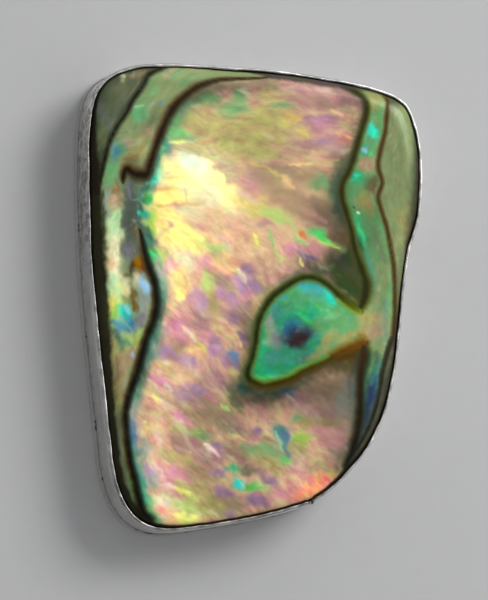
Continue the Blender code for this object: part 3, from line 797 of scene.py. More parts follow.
# Streaks: tint, start, end, half-width and strength. The blush strokes and many of the pale
# cream and lemon ones, most of them in the lower left, are painted highlights where ridges of
# the nacre catch the light; the pearl ones are painted highlights too.
STREAKS = (
    ("slate", 138, 198, 138, 226, 3.2, 0.95), ("slate", 141, 226, 144, 238, 2.4, 0.8),
    ("gold", 245, 159, 268, 168, 1.8, 0.6), ("gold", 266, 167, 284, 178, 2.0, 0.7),
    ("peach", 282, 177, 293, 188, 2.4, 0.7), ("peach", 290, 166, 314, 162, 1.8, 0.8),
    ("straw", 314, 163, 338, 160, 1.8, 0.6), ("gold", 296, 128, 309, 136, 2.2, 0.7),
    ("peach", 330, 109, 344, 116, 1.8, 0.5), ("peach", 336, 132, 348, 138, 1.8, 0.6),
    ("lemon", 169, 142.5, 186, 141, 1.3, 1.0), ("cream", 184, 141, 196, 140, 2.3, 0.56),
    ("cream", 211, 147, 224, 158, 1.8, 0.42), ("orange", 152, 190.5, 186, 189, 2.0, 0.55),
    ("orange", 158, 204.5, 204, 202.5, 2.4, 0.55), ("hot_rose", 166, 204, 184, 204, 2.2, 0.6),
    ("salmon", 156, 237, 172, 224, 2.2, 0.7), ("hot_rose", 168, 222, 172, 226, 2.0, 0.6),
    ("cream", 182, 184, 188, 200, 1.2, 0.8), ("cream", 196, 178, 214, 200, 2.3, 0.35),
    ("lemon", 252, 233, 258, 243, 2.0, 0.8), ("lime", 212, 244, 232, 249, 2.0, 0.7),
    ("spring", 270, 232, 273, 247, 1.5, 0.75), ("lime", 273, 246, 282, 260, 1.5, 0.8),
    ("lime", 288, 222, 299, 237, 1.8, 0.7), ("spring", 292, 236, 308, 244, 1.6, 0.7),
    ("spring", 312, 234, 332, 241, 2.2, 0.85), ("lime", 318, 240, 338, 248, 1.6, 0.7),
    ("lemon", 300, 259, 304, 266, 1.4, 0.6), ("ink", 305, 254, 314, 259, 1.6, 0.5),
    ("cream", 236, 268, 240, 276, 1.6, 0.56), ("cream", 240, 276, 246, 283, 1.7, 0.56),
    ("lavender", 246, 286, 250, 296, 1.5, 0.7), ("lemon", 177, 278, 184, 292, 1.8, 0.7),
    ("salmon", 183, 304, 192, 312, 1.6, 0.8), ("cream", 182, 306, 187, 311, 1.3, 0.56),
    ("peach", 182, 324, 196, 340, 1.7, 0.9), ("gold", 194, 338, 206, 352, 1.8, 0.8),
    ("straw", 214, 320, 222, 334, 1.6, 0.7), ("peach", 226, 322, 243, 346, 1.7, 0.8),
    ("hot_rose", 172, 318, 175, 330, 1.6, 0.8), ("peach", 156, 368, 168, 370, 1.4, 0.7),
    ("cream", 164, 384, 171, 390, 1.7, 0.56), ("lemon", 155, 400, 164, 404, 1.6, 0.85),
    ("cream", 162, 403, 178, 409, 1.4, 0.7), ("cream", 152, 413, 160, 420, 1.6, 0.49),
    ("lemon", 143, 421, 147, 422, 1.6, 0.9), ("peach", 148, 428, 153, 438, 1.8, 0.7),
    ("hot_rose", 158, 464, 168, 476, 1.6, 0.7), ("cream", 162, 470, 167, 475, 1.3, 0.49),
    ("cream", 164, 484, 174, 489, 1.8, 0.56), ("lemon", 174, 488, 190, 497, 1.6, 0.75),
    ("cream", 163, 498, 167, 504, 1.7, 0.56), ("lemon", 168, 518, 192, 521, 1.5, 0.85),
    ("acid", 180, 523, 196, 522, 1.3, 0.6), ("lime", 176, 425, 186, 431, 1.3, 0.6),
    ("leaf", 188, 433, 208, 433, 1.4, 0.6), ("cream", 205, 444, 219, 456, 1.6, 0.63),
    ("cream", 220, 403, 224, 411, 1.4, 0.42), ("acid", 221, 404, 229, 412, 1.6, 0.8),
    ("cream", 225, 407, 228, 410, 1.3, 0.63), ("peach", 228, 432, 246, 441, 1.3, 0.6),
    ("tan", 248, 441, 262, 446, 1.2, 0.5), ("cream", 228, 455, 236, 461, 1.3, 0.35),
    ("jade", 232, 462, 235, 476, 1.8, 0.8), ("cyan", 235, 478, 240, 487, 1.8, 0.9),
    ("cream", 241, 483, 244, 488, 1.3, 0.56), ("spring", 244, 489, 262, 487, 1.8, 0.7),
    ("straw", 266, 464, 292, 480, 1.4, 0.6), ("salmon", 276, 468, 290, 478, 1.2, 0.5),
    ("spring", 278, 456, 290, 464, 1.5, 0.7), ("blue", 275, 429, 291, 458, 2.2, 0.6),
    ("spring", 256, 378, 284, 376, 2.0, 0.7),
    ("spring", 284, 376, 312, 364, 1.8, 0.7), ("ink", 284, 336, 310, 332, 15.0, 0.5), ("blue", 288, 324, 300, 324, 6.0, 0.5),
    ("ink", 287, 340, 307, 333, 12.5, 0.85), ("maroon", 291, 343, 305, 336, 8.5, 1.0),
    ("lagoon", 270, 300, 276, 312, 3.0, 0.6), ("pine", 284, 308, 292, 304, 2.2, 0.4), ("pine", 298, 318, 306, 322, 2.0, 0.5),
    ("teal", 264, 358, 290, 362, 6.0, 0.6), ("pine", 300, 352, 320, 342, 3.0, 0.4),
    ("blue", 279, 298, 286, 295, 2.0, 0.5), ("spring", 318, 306, 334, 318, 4.0, 0.6),
    ("mint", 326, 318, 340, 314, 3.0, 0.35), ("teal", 288, 356, 306, 352, 5.0, 0.5),
    ("lagoon", 300, 284, 322, 288, 4.0, 0.6), ("cyan", 324, 291, 337, 303, 2.6, 0.8),
    ("teal", 272, 306, 280, 318, 3.5, 0.6), ("spring", 296, 312, 310, 322, 3.0, 0.5),
    ("sage", 266, 322, 268, 345, 2.4, 0.6), ("mist", 272, 318, 272, 330, 4.0, 0.4), ("lilac_grey", 275, 332, 277, 346, 7.0, 0.5),
    ("cyan", 371, 127, 375, 136, 3.2, 0.95), ("spring", 374, 133, 376, 138, 2.0, 0.7),
    ("sky", 361, 148, 365, 152, 2.6, 0.6), ("spring", 368, 151, 372, 153, 2.2, 0.7),
    ("tan", 362, 164, 374, 164, 4.0, 0.7), ("jade", 352, 180, 361, 176, 4.0, 0.75),
    ("cyan", 354, 175, 360, 176, 1.8, 0.5), ("umber", 365, 188, 376, 192, 4.0, 0.6),
    ("orange", 366, 201, 371, 203, 2.0, 0.3), ("ink", 352, 207, 355, 207, 1.6, 0.8),
    ("pearl", 357, 213.5, 358, 213.5, 1.7, 0.9), ("jade", 356, 216, 365, 246, 4.0, 0.7),
    ("spring", 359, 225, 364, 240, 2.2, 0.5), ("olive", 374, 226, 384, 262, 5.0, 0.6),
    ("teal", 368, 252, 374, 292, 3.5, 0.6), ("teal", 384, 300, 383, 340, 3.6, 0.5),
    ("leaf", 372, 346, 370, 372, 3.0, 0.6), ("blue", 374, 380, 367, 406, 2.6, 0.5),
    ("leaf", 176, 112, 168, 134, 6.0, 0.6), ("jade", 164, 138, 158, 156, 5.0, 0.75), ("teal", 157, 156, 154, 170, 3.4, 0.8),
    ("cyan", 153, 176, 157, 178, 2.6, 0.95), ("pine", 148, 184, 144, 192, 3.0, 0.7),
    ("jade", 142, 199, 151, 199, 3.2, 0.9), ("spring", 146, 197, 152, 199, 1.8, 0.7),
    ("cyan", 137, 212.5, 141, 213, 1.8, 0.95), ("jade", 140, 215, 146, 214, 3.0, 0.85),
    ("mist", 132, 220, 135, 221, 1.6, 0.6), ("spring", 143, 222, 147, 226, 2.2, 0.5),
    ("pine", 147, 228, 152, 240, 2.6, 0.7), ("acid", 150, 218, 154, 232, 3.0, 0.5),
    ("spring", 151, 252, 158, 257, 3.2, 0.95), ("teal", 145, 246, 149, 250, 2.6, 0.9),
    ("jade", 158, 258, 162, 268, 3.0, 0.6), ("lilac_grey", 129, 184, 130, 200, 2.2, 0.7),
    ("tan", 121, 196, 121, 214, 1.8, 0.5), ("pine", 134, 192, 136, 200, 3.0, 0.4),
    ("umber", 133, 228, 136, 238, 3.0, 0.6), ("lilac_grey", 127, 246, 131, 252, 2.0, 0.7),
    ("umber", 138, 244, 142, 256, 4.0, 0.8), ("ochre", 134, 265, 148, 268, 6.0, 0.95),
    ("slate", 139, 203, 139.5, 209, 2.0, 0.9), ("pine", 139, 216, 141, 228, 2.2, 0.8),
    ("maroon", 133, 262, 131, 274, 3.0, 0.8), ("orange", 115, 184, 116, 190, 2.0, 0.4),
    ("salmon", 115, 194, 117, 208, 2.2, 0.5), ("mint", 116, 212, 116, 238, 3.0, 0.7),
    ("cream", 113, 240, 112, 258, 4.0, 0.7), ("peach", 110, 258, 111, 270, 3.0, 0.6),
    ("mint", 113, 276, 113, 296, 4.5, 0.7), ("lemon", 118, 284, 126, 294, 3.0, 0.5),
    ("ochre", 131, 288, 134, 312, 1.6, 0.7), ("lemon", 112, 298, 114, 316, 4.0, 0.8),
    ("cyan", 118, 306, 125, 317, 3.6, 0.95), ("blue", 113, 321, 130, 333, 4.6, 0.85),
    ("lagoon", 124, 314, 131, 322, 3.0, 0.8), ("teal", 117, 338, 130, 344, 4.0, 0.7),
    ("blue", 117, 328, 120, 334, 2.5, 0.6), ("leaf", 118, 338, 121, 350, 3.0, 0.6),
    ("sky", 132, 352, 133, 356, 2.0, 0.6), ("mist", 126, 380, 126, 386, 2.0, 0.8),
    ("sky", 143, 280, 146, 292, 3.0, 0.9), ("mist", 142, 296, 144, 312, 3.5, 0.8),
    ("lilac_grey", 143, 314, 142, 326, 3.0, 0.5), ("acid", 138, 332, 134, 346, 2.0, 0.6),
    ("umber", 118, 358, 116, 400, 3.5, 0.6), ("olive", 118, 405, 125, 480, 4.0, 0.5),
    ("olive", 120.5, 414, 122, 450, 1.2, 0.6), ("olive", 122, 450, 131, 492, 1.3, 0.6),
    ("pine", 146, 186, 140, 208, 4.0, 0.6), ("teal", 142, 186, 138, 210, 2.0, 0.5),
    ("bottle", 334, 268, 360, 290, 11.0, 0.75), ("bottle", 348, 252, 362, 276, 6.0, 0.7),
    ("olive", 318, 268, 334, 266, 4.0, 0.4), ("ochre", 338, 358, 366, 350, 6.5, 0.8),
    ("bottle", 340, 282, 364, 300, 11.0, 0.96), ("gilt", 354, 304, 366, 308, 4.0, 0.8),
    ("khaki", 358, 317, 373, 321, 5.0, 0.75), ("tan", 364, 329, 378, 332, 5.5, 0.6),
    ("bark", 334, 366, 364, 362, 7.0, 0.85), ("amber", 358, 334, 366, 336, 4.0, 0.7),
    ("gilt", 370, 344, 371, 356, 2.4, 0.7), ("slate", 356, 372, 352, 430, 6.0, 0.55),
    ("pine", 377, 352, 374, 374, 4.5, 0.6), ("ink", 366, 420, 352, 452, 5.0, 0.9),
    ("bark", 344, 356, 366, 356, 6.0, 0.8), ("dark_sage", 330, 366, 362, 366, 5.0, 0.5), ("olive", 145, 241, 157, 254, 1.6, 0.7),
    ("pine", 139, 202, 142, 212, 3.0, 0.9), ("umber", 136, 226, 142, 240, 2.4, 0.7),
    ("teal", 381, 360, 375, 384, 3.4, 0.6), ("blue", 378, 372, 371, 398, 2.6, 0.6),
    ("ink", 374, 374, 365, 424, 6.5, 0.95), ("dark_sage", 393, 368, 366, 432, 4.0, 0.9),
    ("teal", 375, 366, 371, 384, 3.0, 0.5), ("dark_sage", 102.5, 190, 104.5, 292, 2.8, 0.85),
    ("blue", 112, 146, 116, 158, 3.2, 0.6), ("leaf", 110, 164, 109, 182, 4.0, 0.5),
    ("rose", 163, 74, 170, 78, 3.0, 0.4), ("mint", 131, 108, 143, 106, 1.8, 0.6),
    ("jade", 133, 116, 140, 108, 3.0, 0.5), ("blue", 158, 102, 164, 104, 2.2, 0.35),
    ("rose", 124, 140, 132, 144, 3.0, 0.35), ("leaf", 148, 86, 156, 80, 3.0, 0.4),
    ("rose", 296, 92, 338, 100, 9.0, 0.5), ("hot_rose", 314, 120, 338, 126, 6.0, 0.4),
    ("rose", 318, 134, 350, 142, 8.0, 0.45), ("sage", 318, 178, 332, 202, 8.0, 0.3),
    ("jade", 318, 174, 328, 186, 4.0, 0.35), ("rose", 322, 432, 344, 442, 9.0, 0.5),
    ("bottle", 336, 274, 358, 298, 9.0, 0.9), ("gilt", 346, 302, 356, 309, 2.6, 0.7),
    ("dusk", 138, 134, 150, 126, 4.0, 0.35), ("fern", 152, 104, 146, 116, 3.5, 0.4),
    ("amber", 136, 262, 146, 266, 5.0, 0.8), ("acid", 114, 300, 116, 318, 3.5, 0.8),
    ("lemon", 112, 290, 113, 304, 3.0, 0.7), ("cyan", 119, 304, 128, 313, 3.6, 0.7),
    ("sky", 123, 306, 130, 314, 2.4, 0.6), ("pine", 115, 330, 123, 350, 4.0, 0.6),
    ("tan", 121, 352, 125, 372, 5.0, 0.6), ("dusk", 121, 384, 124, 400, 4.0, 0.5),
    ("leaf", 328, 322, 350, 317, 9.0, 0.5), ("teal", 276, 430, 288, 456, 6.0, 0.5),
    ("fern", 170, 78, 182, 71, 3.0, 0.5), ("rose", 170, 70, 180, 68, 2.4, 0.35),
    ("fern", 150, 96, 158, 86, 3.0, 0.5), ("mist", 146, 110, 153, 103, 2.6, 0.4),
    ("fern", 136, 122, 143, 114, 3.4, 0.5), ("rose", 146, 130, 153, 135, 2.6, 0.3),
    ("teal", 126, 146, 119, 158, 3.0, 0.4), ("fern", 117, 162, 112, 176, 3.4, 0.5),
    ("mist", 134, 146, 140, 140, 2.6, 0.4), ("fern", 198, 84, 214, 79, 2.6, 0.4),
    ("pine", 102, 110, 110, 128, 5.0, 0.5), ("moss", 115, 89, 124, 84, 4.0, 0.5),
    ("cream", 206, 150, 236, 178, 8.0, 0.35), ("salmon", 282, 196, 316, 214, 6.0, 0.22),
    ("rose", 302, 208, 326, 222, 4.0, 0.35), ("cyan", 154, 168, 157, 182, 2.2, 0.8),
    ("mint", 156, 171, 156.5, 176, 1.3, 0.8), ("pearl", 176, 186, 196, 190, 3.0, 0.4),
    ("peach", 196, 210, 222, 214, 4.0, 0.4), ("blush", 212, 232, 232, 246, 2.6, 0.5),
    ("blush", 236, 190, 262, 204, 2.4, 0.4), ("cream", 148, 380, 160, 392, 2.0, 0.6),
    ("cream", 176, 444, 188, 454, 2.0, 0.5),
    ("sage", 262, 446, 306, 458, 9.0, 0.4), ("sage", 210, 420, 240, 434, 8.0, 0.25),
    ("rose", 150, 440, 172, 462, 7.0, 0.35), ("rose", 176, 432, 200, 458, 8.0, 0.4),
    ("leaf", 180, 82, 196, 76, 3.2, 0.4), ("pearl", 186, 160, 206, 172, 7.0, 0.55),
    ("pearl", 196, 174, 222, 196, 5.0, 0.4), ("cream", 226, 206, 236, 218, 4.0, 0.4),
    ("mint", 176, 150, 200, 152, 4.0, 0.35),
    ("dark_sage", 366, 428, 352, 452, 4.5, 0.8), ("dark_sage", 350, 440, 344, 462, 3.5, 0.6),
    ("blush", 164, 384.5, 172, 390, 2.2, 0.85), ("blush", 156, 398, 172, 408, 2.0, 0.8),
    ("lemon", 153, 395, 160, 401, 2.2, 0.85), ("blush", 153, 430, 161, 441, 3.4, 0.8),
    ("blush", 205, 443.5, 218.5, 456, 2.4, 0.9), ("blush", 147, 461, 166, 476, 2.6, 0.85),
    ("blush", 160, 484, 176, 489, 2.6, 0.85), ("lemon", 176, 488, 191, 494, 2.4, 0.85),
    ("blush", 163, 500, 167, 507, 2.4, 0.85), ("blush", 159, 517, 168, 519, 2.2, 0.7),
    ("hot_rose", 170, 318, 176, 330, 3.2, 0.8), ("blush", 184, 326, 195, 340, 2.0, 0.85),
    ("gold", 199, 342, 206, 353, 2.6, 0.8), ("blush", 162, 361, 168, 364, 1.8, 0.8),
    ("blush", 158, 369, 163, 372, 2.0, 0.7), ("blush", 175, 418, 184, 424, 1.8, 0.5),
    ("blush", 238, 268, 246, 280, 2.2, 0.7), ("mint", 276, 432, 284, 452, 1.6, 0.6),
    ("tan", 130, 76, 150, 71, 3.6, 0.4), ("lilac_grey", 100, 104, 110, 128, 5.0, 0.25),
    ("khaki", 184, 122, 206, 106, 9.0, 0.45), ("fern", 186, 112, 198, 106, 4.0, 0.25),
    ("gold", 164, 177, 186, 179, 1.6, 0.45), ("peach", 168, 185, 190, 188, 1.5, 0.4),
    ("peach", 206, 182, 228, 190, 1.8, 0.35), ("straw", 214, 168, 232, 177, 1.6, 0.4),
    ("lagoon", 112, 319, 129, 329, 4.0, 0.45), ("pine", 112, 327, 120, 340, 3.6, 0.5),
    ("khaki", 189, 430, 204, 434, 3.4, 0.6), ("lime", 184, 432, 200, 433, 2.0, 0.35),
)
# Bands of one tint along a line: how far out in pixels, half-width, strength, and the
# tints down the line, each with the pixel row that it is at.
BORDERS = (
    ("LOWER_LEFT_LINE", 7.5, 5.5, 0.9, (
        (226, "pine"), (246, "teal"), (256, "spring"), (268, "mist"), (285, "teal"),
        (310, "pine"), (345, "teal"), (375, "pine"), (395, "teal"), (412, "mist"),
        (432, "blue"), (452, "teal"), (475, "teal"), (500, "jade"), (515, "leaf"))),
    ("UPPER_LEFT_LINE", 7.0, 6.0, 0.8, (
        (78, "dusk"), (95, "moss"), (112, "teal"), (128, "leaf"), (150, "teal"), (165, "jade"),
        (176, "cyan"))),
    ("INNER_RIGHT_LINE", -6.0, 5.0, 0.75, (
        (86, "mauve"), (120, "dusk"), (155, "moss"), (175, "pine"), (205, "pine"),
        (235, "umber"), (255, "dark_sage"), (285, "dark_sage"), (305, "dark_sage"))),
    ("BLISTER_TOP", -7.0, 4.5, 0.75, (
        (278, "olive"), (300, "khaki"), (330, "moss"), (360, "umber"), (380, "pine"))),
    ("BLISTER_FOOT", -8.0, 5.5, 0.75, (
        (336, "umber"), (350, "dusk"), (370, "umber"), (386, "pine"))),
    ("LOWER_RIGHT_LINE", -9.0, 5.0, 0.7, (
        (340, "umber"), (370, "slate"), (400, "slate"), (430, "dusk"), (465, "olive"))),
)
# The nacre's streaks: their turn in the upper and lower part, the rows of pixels between
# which one passes into the other, and their length and width in pixels.
UPPER_TURN, LOWER_TURN = 10, 42
TURN_ROWS = (175, 245)
STREAK_LENGTH, STREAK_WIDTH = 15.0, 7.0
# Painted light and shade on the nacre, with some of its own lighter and darker zones: pixel,
# pixel, long and short radius, turn and the factor on the colour. Over 1 paints light, as in
# the painted highlight of the glow at the upper left; under 1 paints shade, as below the
# blister's foot.
PAINTED_LIGHT_AND_SHADE = (
    (330, 100, 45, 22, 5, 0.60), (228, 90, 40, 14, -5, 0.55), (190, 104, 22, 12, -40, 0.7),
    (345, 150, 12, 40, 0, 0.74), (338, 195, 20, 34, 0, 0.72), (322, 218, 26, 14, 25, 0.68),
    (346, 258, 22, 24, 0, 0.32), (325, 268, 26, 14, 15, 0.5), (255, 400, 26, 12, 20, 0.55),
    (246, 385, 12, 12, 0, 0.6), (286, 396, 26, 14, 0, 0.6), (330, 400, 34, 34, 0, 0.55),
    (338, 440, 20, 30, 0, 0.65), (300, 158, 50, 26, 0, 0.85), (236, 422, 30, 20, 20, 0.8),
    (250, 330, 10, 40, 15, 0.75), (160, 465, 18, 50, 0, 1.35), (178, 512, 34, 16, 5, 1.28),
    (312, 488, 26, 10, -10, 1.38), (178, 285, 16, 40, 10, 1.4), (114, 262, 10, 60, 2, 1.6), (232, 225, 30, 50, 20, 1.06), (178, 268, 24, 26, 0, 1.12),
    (190, 185, 34, 34, 30, 1.3), (355, 130, 10, 40, 0, 0.8), (395, 150, 30, 60, 0, 0.7),
    (232, 330, 24, 34, 0, 0.88), (340, 215, 30, 26, 0, 0.7), (290, 205, 30, 26, 20, 0.9),
    (284, 388, 34, 12, -18, 0.5), (350, 367, 20, 14, 0, 0.34), (386, 400, 12, 40, 15, 0.7), (288, 362, 34, 14, -20, 0.72),
    (230, 432, 34, 40, 0, 0.85), (190, 440, 40, 50, 30, 0.96), (240, 500, 60, 20, 0, 0.8),
    (172, 230, 22, 40, 0, 1.2), (230, 190, 24, 30, 40, 1.14), (215, 165, 24, 14, 20, 1.2),
    (131, 215, 9, 34, 0, 0.58), (290, 328, 30, 28, 0, 0.72), (175, 378, 26, 26, 0, 1.1), (222, 352, 20, 26, 0, 1.07), (336, 384, 30, 24, 0, 0.75),
    (372, 215, 12, 34, 0, 0.75), (398, 200, 12, 40, 0, 0.9), (370, 240, 14, 60, 0, 0.82), (385, 300, 14, 50, 0, 0.85),
    (285, 268, 40, 12, 0, 0.85), (130, 110, 30, 40, -60, 0.85),
)
# Where the nacre is calmer, in the same way, with the share of its streaks that is left.
CALM = (
    (300, 200, 60, 40, 25, 0.35), (380, 400, 70, 60, 0, 0.5), (330, 400, 40, 40, 0, 0.6),
    (300, 120, 60, 30, 0, 0.7), (345, 260, 20, 24, 0, 0.3), (205, 180, 40, 25, 30, 0.6),
)
CALM_MARGIN = 0.6
SHINE = 0.94


def linear(colour):
    """A display colour, 0 to 255, as the linear colour that shows so under the lamps."""
    scaled = np.array(colour) / 255
    return np.where(scaled < 0.04, scaled / 12.92, ((scaled + 0.055) / 1.055) ** 2.4) / SHINE


warp = np.array([
    [noise.noise((x / 13, y / 13, shift)) * 5 + noise.noise((x / 5, y / 5, shift)) * 2.5
     for shift in (11.0, 23.0)]
    for x, y in pixels
])
loose = pixels + warp


def oval(x, y, long, short, turn):
    """Squared distance of each vertex from a pixel, in radii of a turned oval."""
    c, s = math.cos(math.radians(turn)), math.sin(math.radians(turn))
    dx, dy = loose[:, 0] - x, loose[:, 1] - y
    return ((dx * c + dy * s) / long) ** 2 + ((dy * c - dx * s) / short) ** 2


def blended(patches, background, weight=0.12):
    """Each vertex's tint from the soft oval patches around it."""
    total = np.full(len(pixels), weight)
    colour = np.outer(total, linear(TINTS[background]))
    for tint, x, y, long, short, turn in patches:
        away = oval(x, y, long, short, turn)
        strength = np.exp(-away) + 0.02 / (1 + away) ** 2
        total = total + strength
        colour = colour + strength[:, None] * linear(TINTS[tint])
    return colour / total[:, None]


# Each line's tints: its left flank, its core at its start and at its end, and its right
# flank, as the line runs.
GROWTH_LINES = (
    ("OUTER_LEFT_LINE", OUTER_LEFT_LINE, (58, 62, 42), (26, 26, 14), (26, 26, 14), (78, 90, 60)),
    ("UPPER_LEFT_LINE", UPPER_LEFT_LINE, (88, 66, 30), (50, 34, 8), (24, 14, 4), (62, 60, 34)),
    ("LOWER_LEFT_LINE", LOWER_LEFT_LINE, (66, 52, 20), (30, 22, 4), (16, 12, 6), (30, 54, 44)),
    ("INNER_RIGHT_LINE", INNER_RIGHT_LINE, (60, 64, 26), (50, 42, 6), (34, 38, 2), (76, 84, 26)),
    ("OUTER_RIGHT_LINE", OUTER_RIGHT_LINE, (92, 84, 44), (72, 54, 8), (58, 46, 12), (92, 82, 44)),
    ("OUTER_RIGHT_FOOT", OUTER_RIGHT_FOOT, (34, 44, 50), (54, 44, 12), (20, 18, 14), (72, 74, 56)),
    ("BLISTER_TIP", BLISTER_TIP, (62, 74, 14), (124, 136, 20), (40, 48, 2), (118, 142, 40)),
    ("BLISTER_TOP", BLISTER_TOP, (66, 78, 34), (40, 50, 2), (26, 34, 2), (80, 112, 48)),
    ("BLISTER_FOOT", BLISTER_FOOT, (70, 58, 24), (40, 38, 2), (66, 50, 0), (96, 132, 44)),
    ("BLISTER_HEEL", BLISTER_HEEL, (64, 46, 6), (66, 50, 0), (104, 62, 0), (128, 104, 34)),
    ("LOWER_RIGHT_LINE", LOWER_RIGHT_LINE, (52, 50, 34), (62, 42, 2), (12, 10, 6), (40, 56, 40)),
)
line_ratio = np.full(len(pixels), FAR)
flank = np.zeros((len(pixels), 3))
core = np.zeros((len(pixels), 3))
side_of = {}
for name, trace, left, start, end, right in GROWTH_LINES:
    ratio, signed, along = from_trace(trace)
    side_of[name] = signed
    to_right = 1 / (1 + np.exp(-signed / 0.8))
    colour = np.outer(1 - to_right, linear(left)) + np.outer(to_right, linear(right))
    nearer = ratio < line_ratio
    flank[nearer] = colour[nearer]
    passed = np.sqrt(along)
    middle = np.outer(1 - passed, linear(start)) + np.outer(passed, linear(end))
    core[nearer] = middle[nearer]
    line_ratio = np.minimum(line_ratio, ratio)

tint = blended(MAIN_PATCHES, "salmon")
for zone, patches, background in (
    (in_left_margin, LEFT_PATCHES, "sage"),
    (in_corner, CORNER_PATCHES, "dark_sage"),
    (in_right_strip, RIGHT_STRIP_PATCHES, "leaf"),
    (in_right_edge, RIGHT_EDGE_PATCHES, "sage"),
    (in_blister, BLISTER_PATCHES, "jade"),
):
    tint[zone] = blended(patches, background)[zone]
in_main = ~(in_left_margin | in_right_strip | in_right_edge | in_blister | in_corner)
for name, out, half, strength, stops in BORDERS:
    zone = in_main
    rows = [row for row, _ in stops]
    hues = np.array([linear(TINTS[hue]) for _, hue in stops])
    colour = np.column_stack([np.interp(loose[:, 1], rows, hues[:, k]) for k in range(3)])
    wide = 1 + 0.6 * warp[:, :1] / 2.5
    cover = strength * np.exp(-((side_of[name] - out) / half)[:, None] ** 2 / wide.clip(0.4) ** 2)
    inner = np.sign(out) * side_of[name] < np.sign(out) * out
    cover[inner] = strength
    reached = zone & (np.sign(out) * side_of[name] > 0)
    tint[reached] += ((colour - tint) * cover)[reached]
# Painted light and shade multiplied into the tint.
for x, y, long, short, turn, share in PAINTED_LIGHT_AND_SHADE:
    away = oval(x, y, long, short, turn)
    tint *= (1 + (share - 1) * np.exp(-away))[:, None]
lively = np.where(in_main, 1.0, CALM_MARGIN)
for x, y, long, short, turn, share in CALM:
    lively *= 1 + (share - 1) * np.exp(-oval(x, y, long, short, turn))
for name, x0, y0, x1, y1, half, strength in STREAKS:
    step = np.array([x1 - x0, y1 - y0])
    offset = pixels + 0.6 * warp - (x0, y0)
    share = np.clip(offset @ step / (step @ step), 0, 1)
    distance = np.hypot(*(offset - share[:, None] * step).T)
    taper = half * (0.5 + 0.6 * np.sin(share * math.pi))
    cover = strength * np.exp(-((distance / taper) ** 2))[:, None]
    tint = tint + (linear(TINTS[name]) - tint) * cover

# The dark band along the cup's edge, partly the shell's own dark edge and partly painted shade under the wall's lip:
# pixel, pixel and the band's width there in mm.
EDGE_BAND = (
    (92, 150, 0.6), (92, 178, 0.85), (93, 209, 0.9), (94, 240, 0.92), (96, 273, 0.95),
    (100, 313, 0.95), (104, 346, 0.8), (107, 380, 0.62), (111, 413, 0.56), (115, 446, 0.5),
    (118, 479, 0.56), (122, 496, 0.62), (130, 514, 0.62), (150, 524, 0.34), (200, 524, 0.17),
    (260, 516, 0.16), (310, 501, 0.18), (345, 470, 0.36), (365, 435, 0.44), (385, 395, 0.48),
    (395, 355, 0.40), (401, 320, 0.30), (406, 290, 0.12), (408, 257, 0.14), (410, 243, 0.45),
    (413, 230, 0.8), (416, 214, 0.95), (419, 185, 0.8), (419, 163, 0.62), (418, 145, 0.4),
    (410, 110, 0.09), (385, 92, 0.13), (360, 87, 0.3), (344, 84, 0.46), (320, 80, 0.55),
    (290, 77, 0.58), (268, 75, 0.5), (250, 73, 0.2), (230, 72, 0.12), (160, 68, 0.09),
    (120, 72, 0.12), (100, 90, 0.2), (95, 120, 0.35),
)
band_width = round_the_rim(EDGE_BAND, RIM_HEIGHT)
rim_tree = KDTree(RIM_POINTS)
for index, point in enumerate(outline):
    rim_tree.insert((*point, 0.0), index)
rim_tree.balance()
nearest = [rim_tree.find((x, y, 0.0))[1:] for x, y in shell_points[:, :2]]
from_rim = np.array([distance for _, distance in nearest])
beside = [index for index, _ in nearest]
edge_ratio = (from_rim - OUTLINE_TO_WALL - inner_lip[beside]) / band_width[beside]
edge_ratio = np.clip(edge_ratio, 0, FAR)



sway = np.array([
    [noise.noise((x / 45, y / 45, shift)) * 9 for shift in (31.0, 47.0)] for x, y in pixels
])


def flow_along(turn):
    """Coordinates for noise whose streaks lie at a turn, in degrees, in the photo."""
    c, s = math.cos(math.radians(turn)), math.sin(math.radians(turn))
    x, y = (pixels + sway).T
    return np.column_stack([(x * c + y * s) / STREAK_LENGTH, (y * c - x * s) / STREAK_WIDTH,
                            np.zeros(len(pixels))])


flow = flow_along(UPPER_TURN)
low_flow = flow_along(LOWER_TURN)
across, down = pixels.T
lower = np.interp(loose[:, 1], TURN_ROWS, (0, 1)) * in_main
for zone, line, shift in (
    (in_left_margin, "LOWER_LEFT_LINE", 20), (in_corner, "OUTER_LEFT_LINE", 30),
    (in_right_strip, "OUTER_RIGHT_LINE", 40), (in_right_edge, "OUTER_RIGHT_LINE", 50),
):
    beside_line = side_of[line]
    if line == "LOWER_LEFT_LINE":
        beside_line = np.where(down < 195, side_of["UPPER_LEFT_LINE"], beside_line)
    grain = np.column_stack([down / 9, beside_line / 5, np.full(len(pixels), shift)])
    flow[zone] = grain[zone]
flow[in_blister] = np.column_stack([across / 8, down / 7, across * 0 + 60])[in_blister]

top_face = slice(2 * RIM_POINTS, None)
ripple = np.array([noise.noise((x / 22, y / 16, 3.0)) for x, y in pixels[top_face]])
shell_points[top_face, 2] += RIPPLE * ripple - DIP_OF_LINES * np.exp(-line_ratio[top_face] ** 2)
shell.data.vertices.foreach_set("co", (shell_points * MM).ravel())
shell.data.vertices.foreach_set("select", np.arange(len(pixels)) < RIM_POINTS)
bpy.ops.object.mode_set(mode="EDIT")
bpy.ops.mesh.select_mode(type="VERT")
bpy.ops.mesh.edge_face_add()
bpy.ops.mesh.select_all(action="SELECT")
bpy.ops.mesh.normals_make_consistent(inside=False)
bpy.ops.object.mode_set(mode="OBJECT")
bpy.ops.object.shade_smooth_by_angle(angle=math.radians(40))


def store(name, kind, values):
    """Keeps a value or colour for each vertex of the shell, for its material."""
    field = {"FLOAT": "value", "FLOAT_VECTOR": "vector", "FLOAT_COLOR": "color"}[kind]
    layer = shell.data.attributes.new(name, kind, "POINT")
    layer.data.foreach_set(field, np.ascontiguousarray(values, dtype=np.float32).ravel())


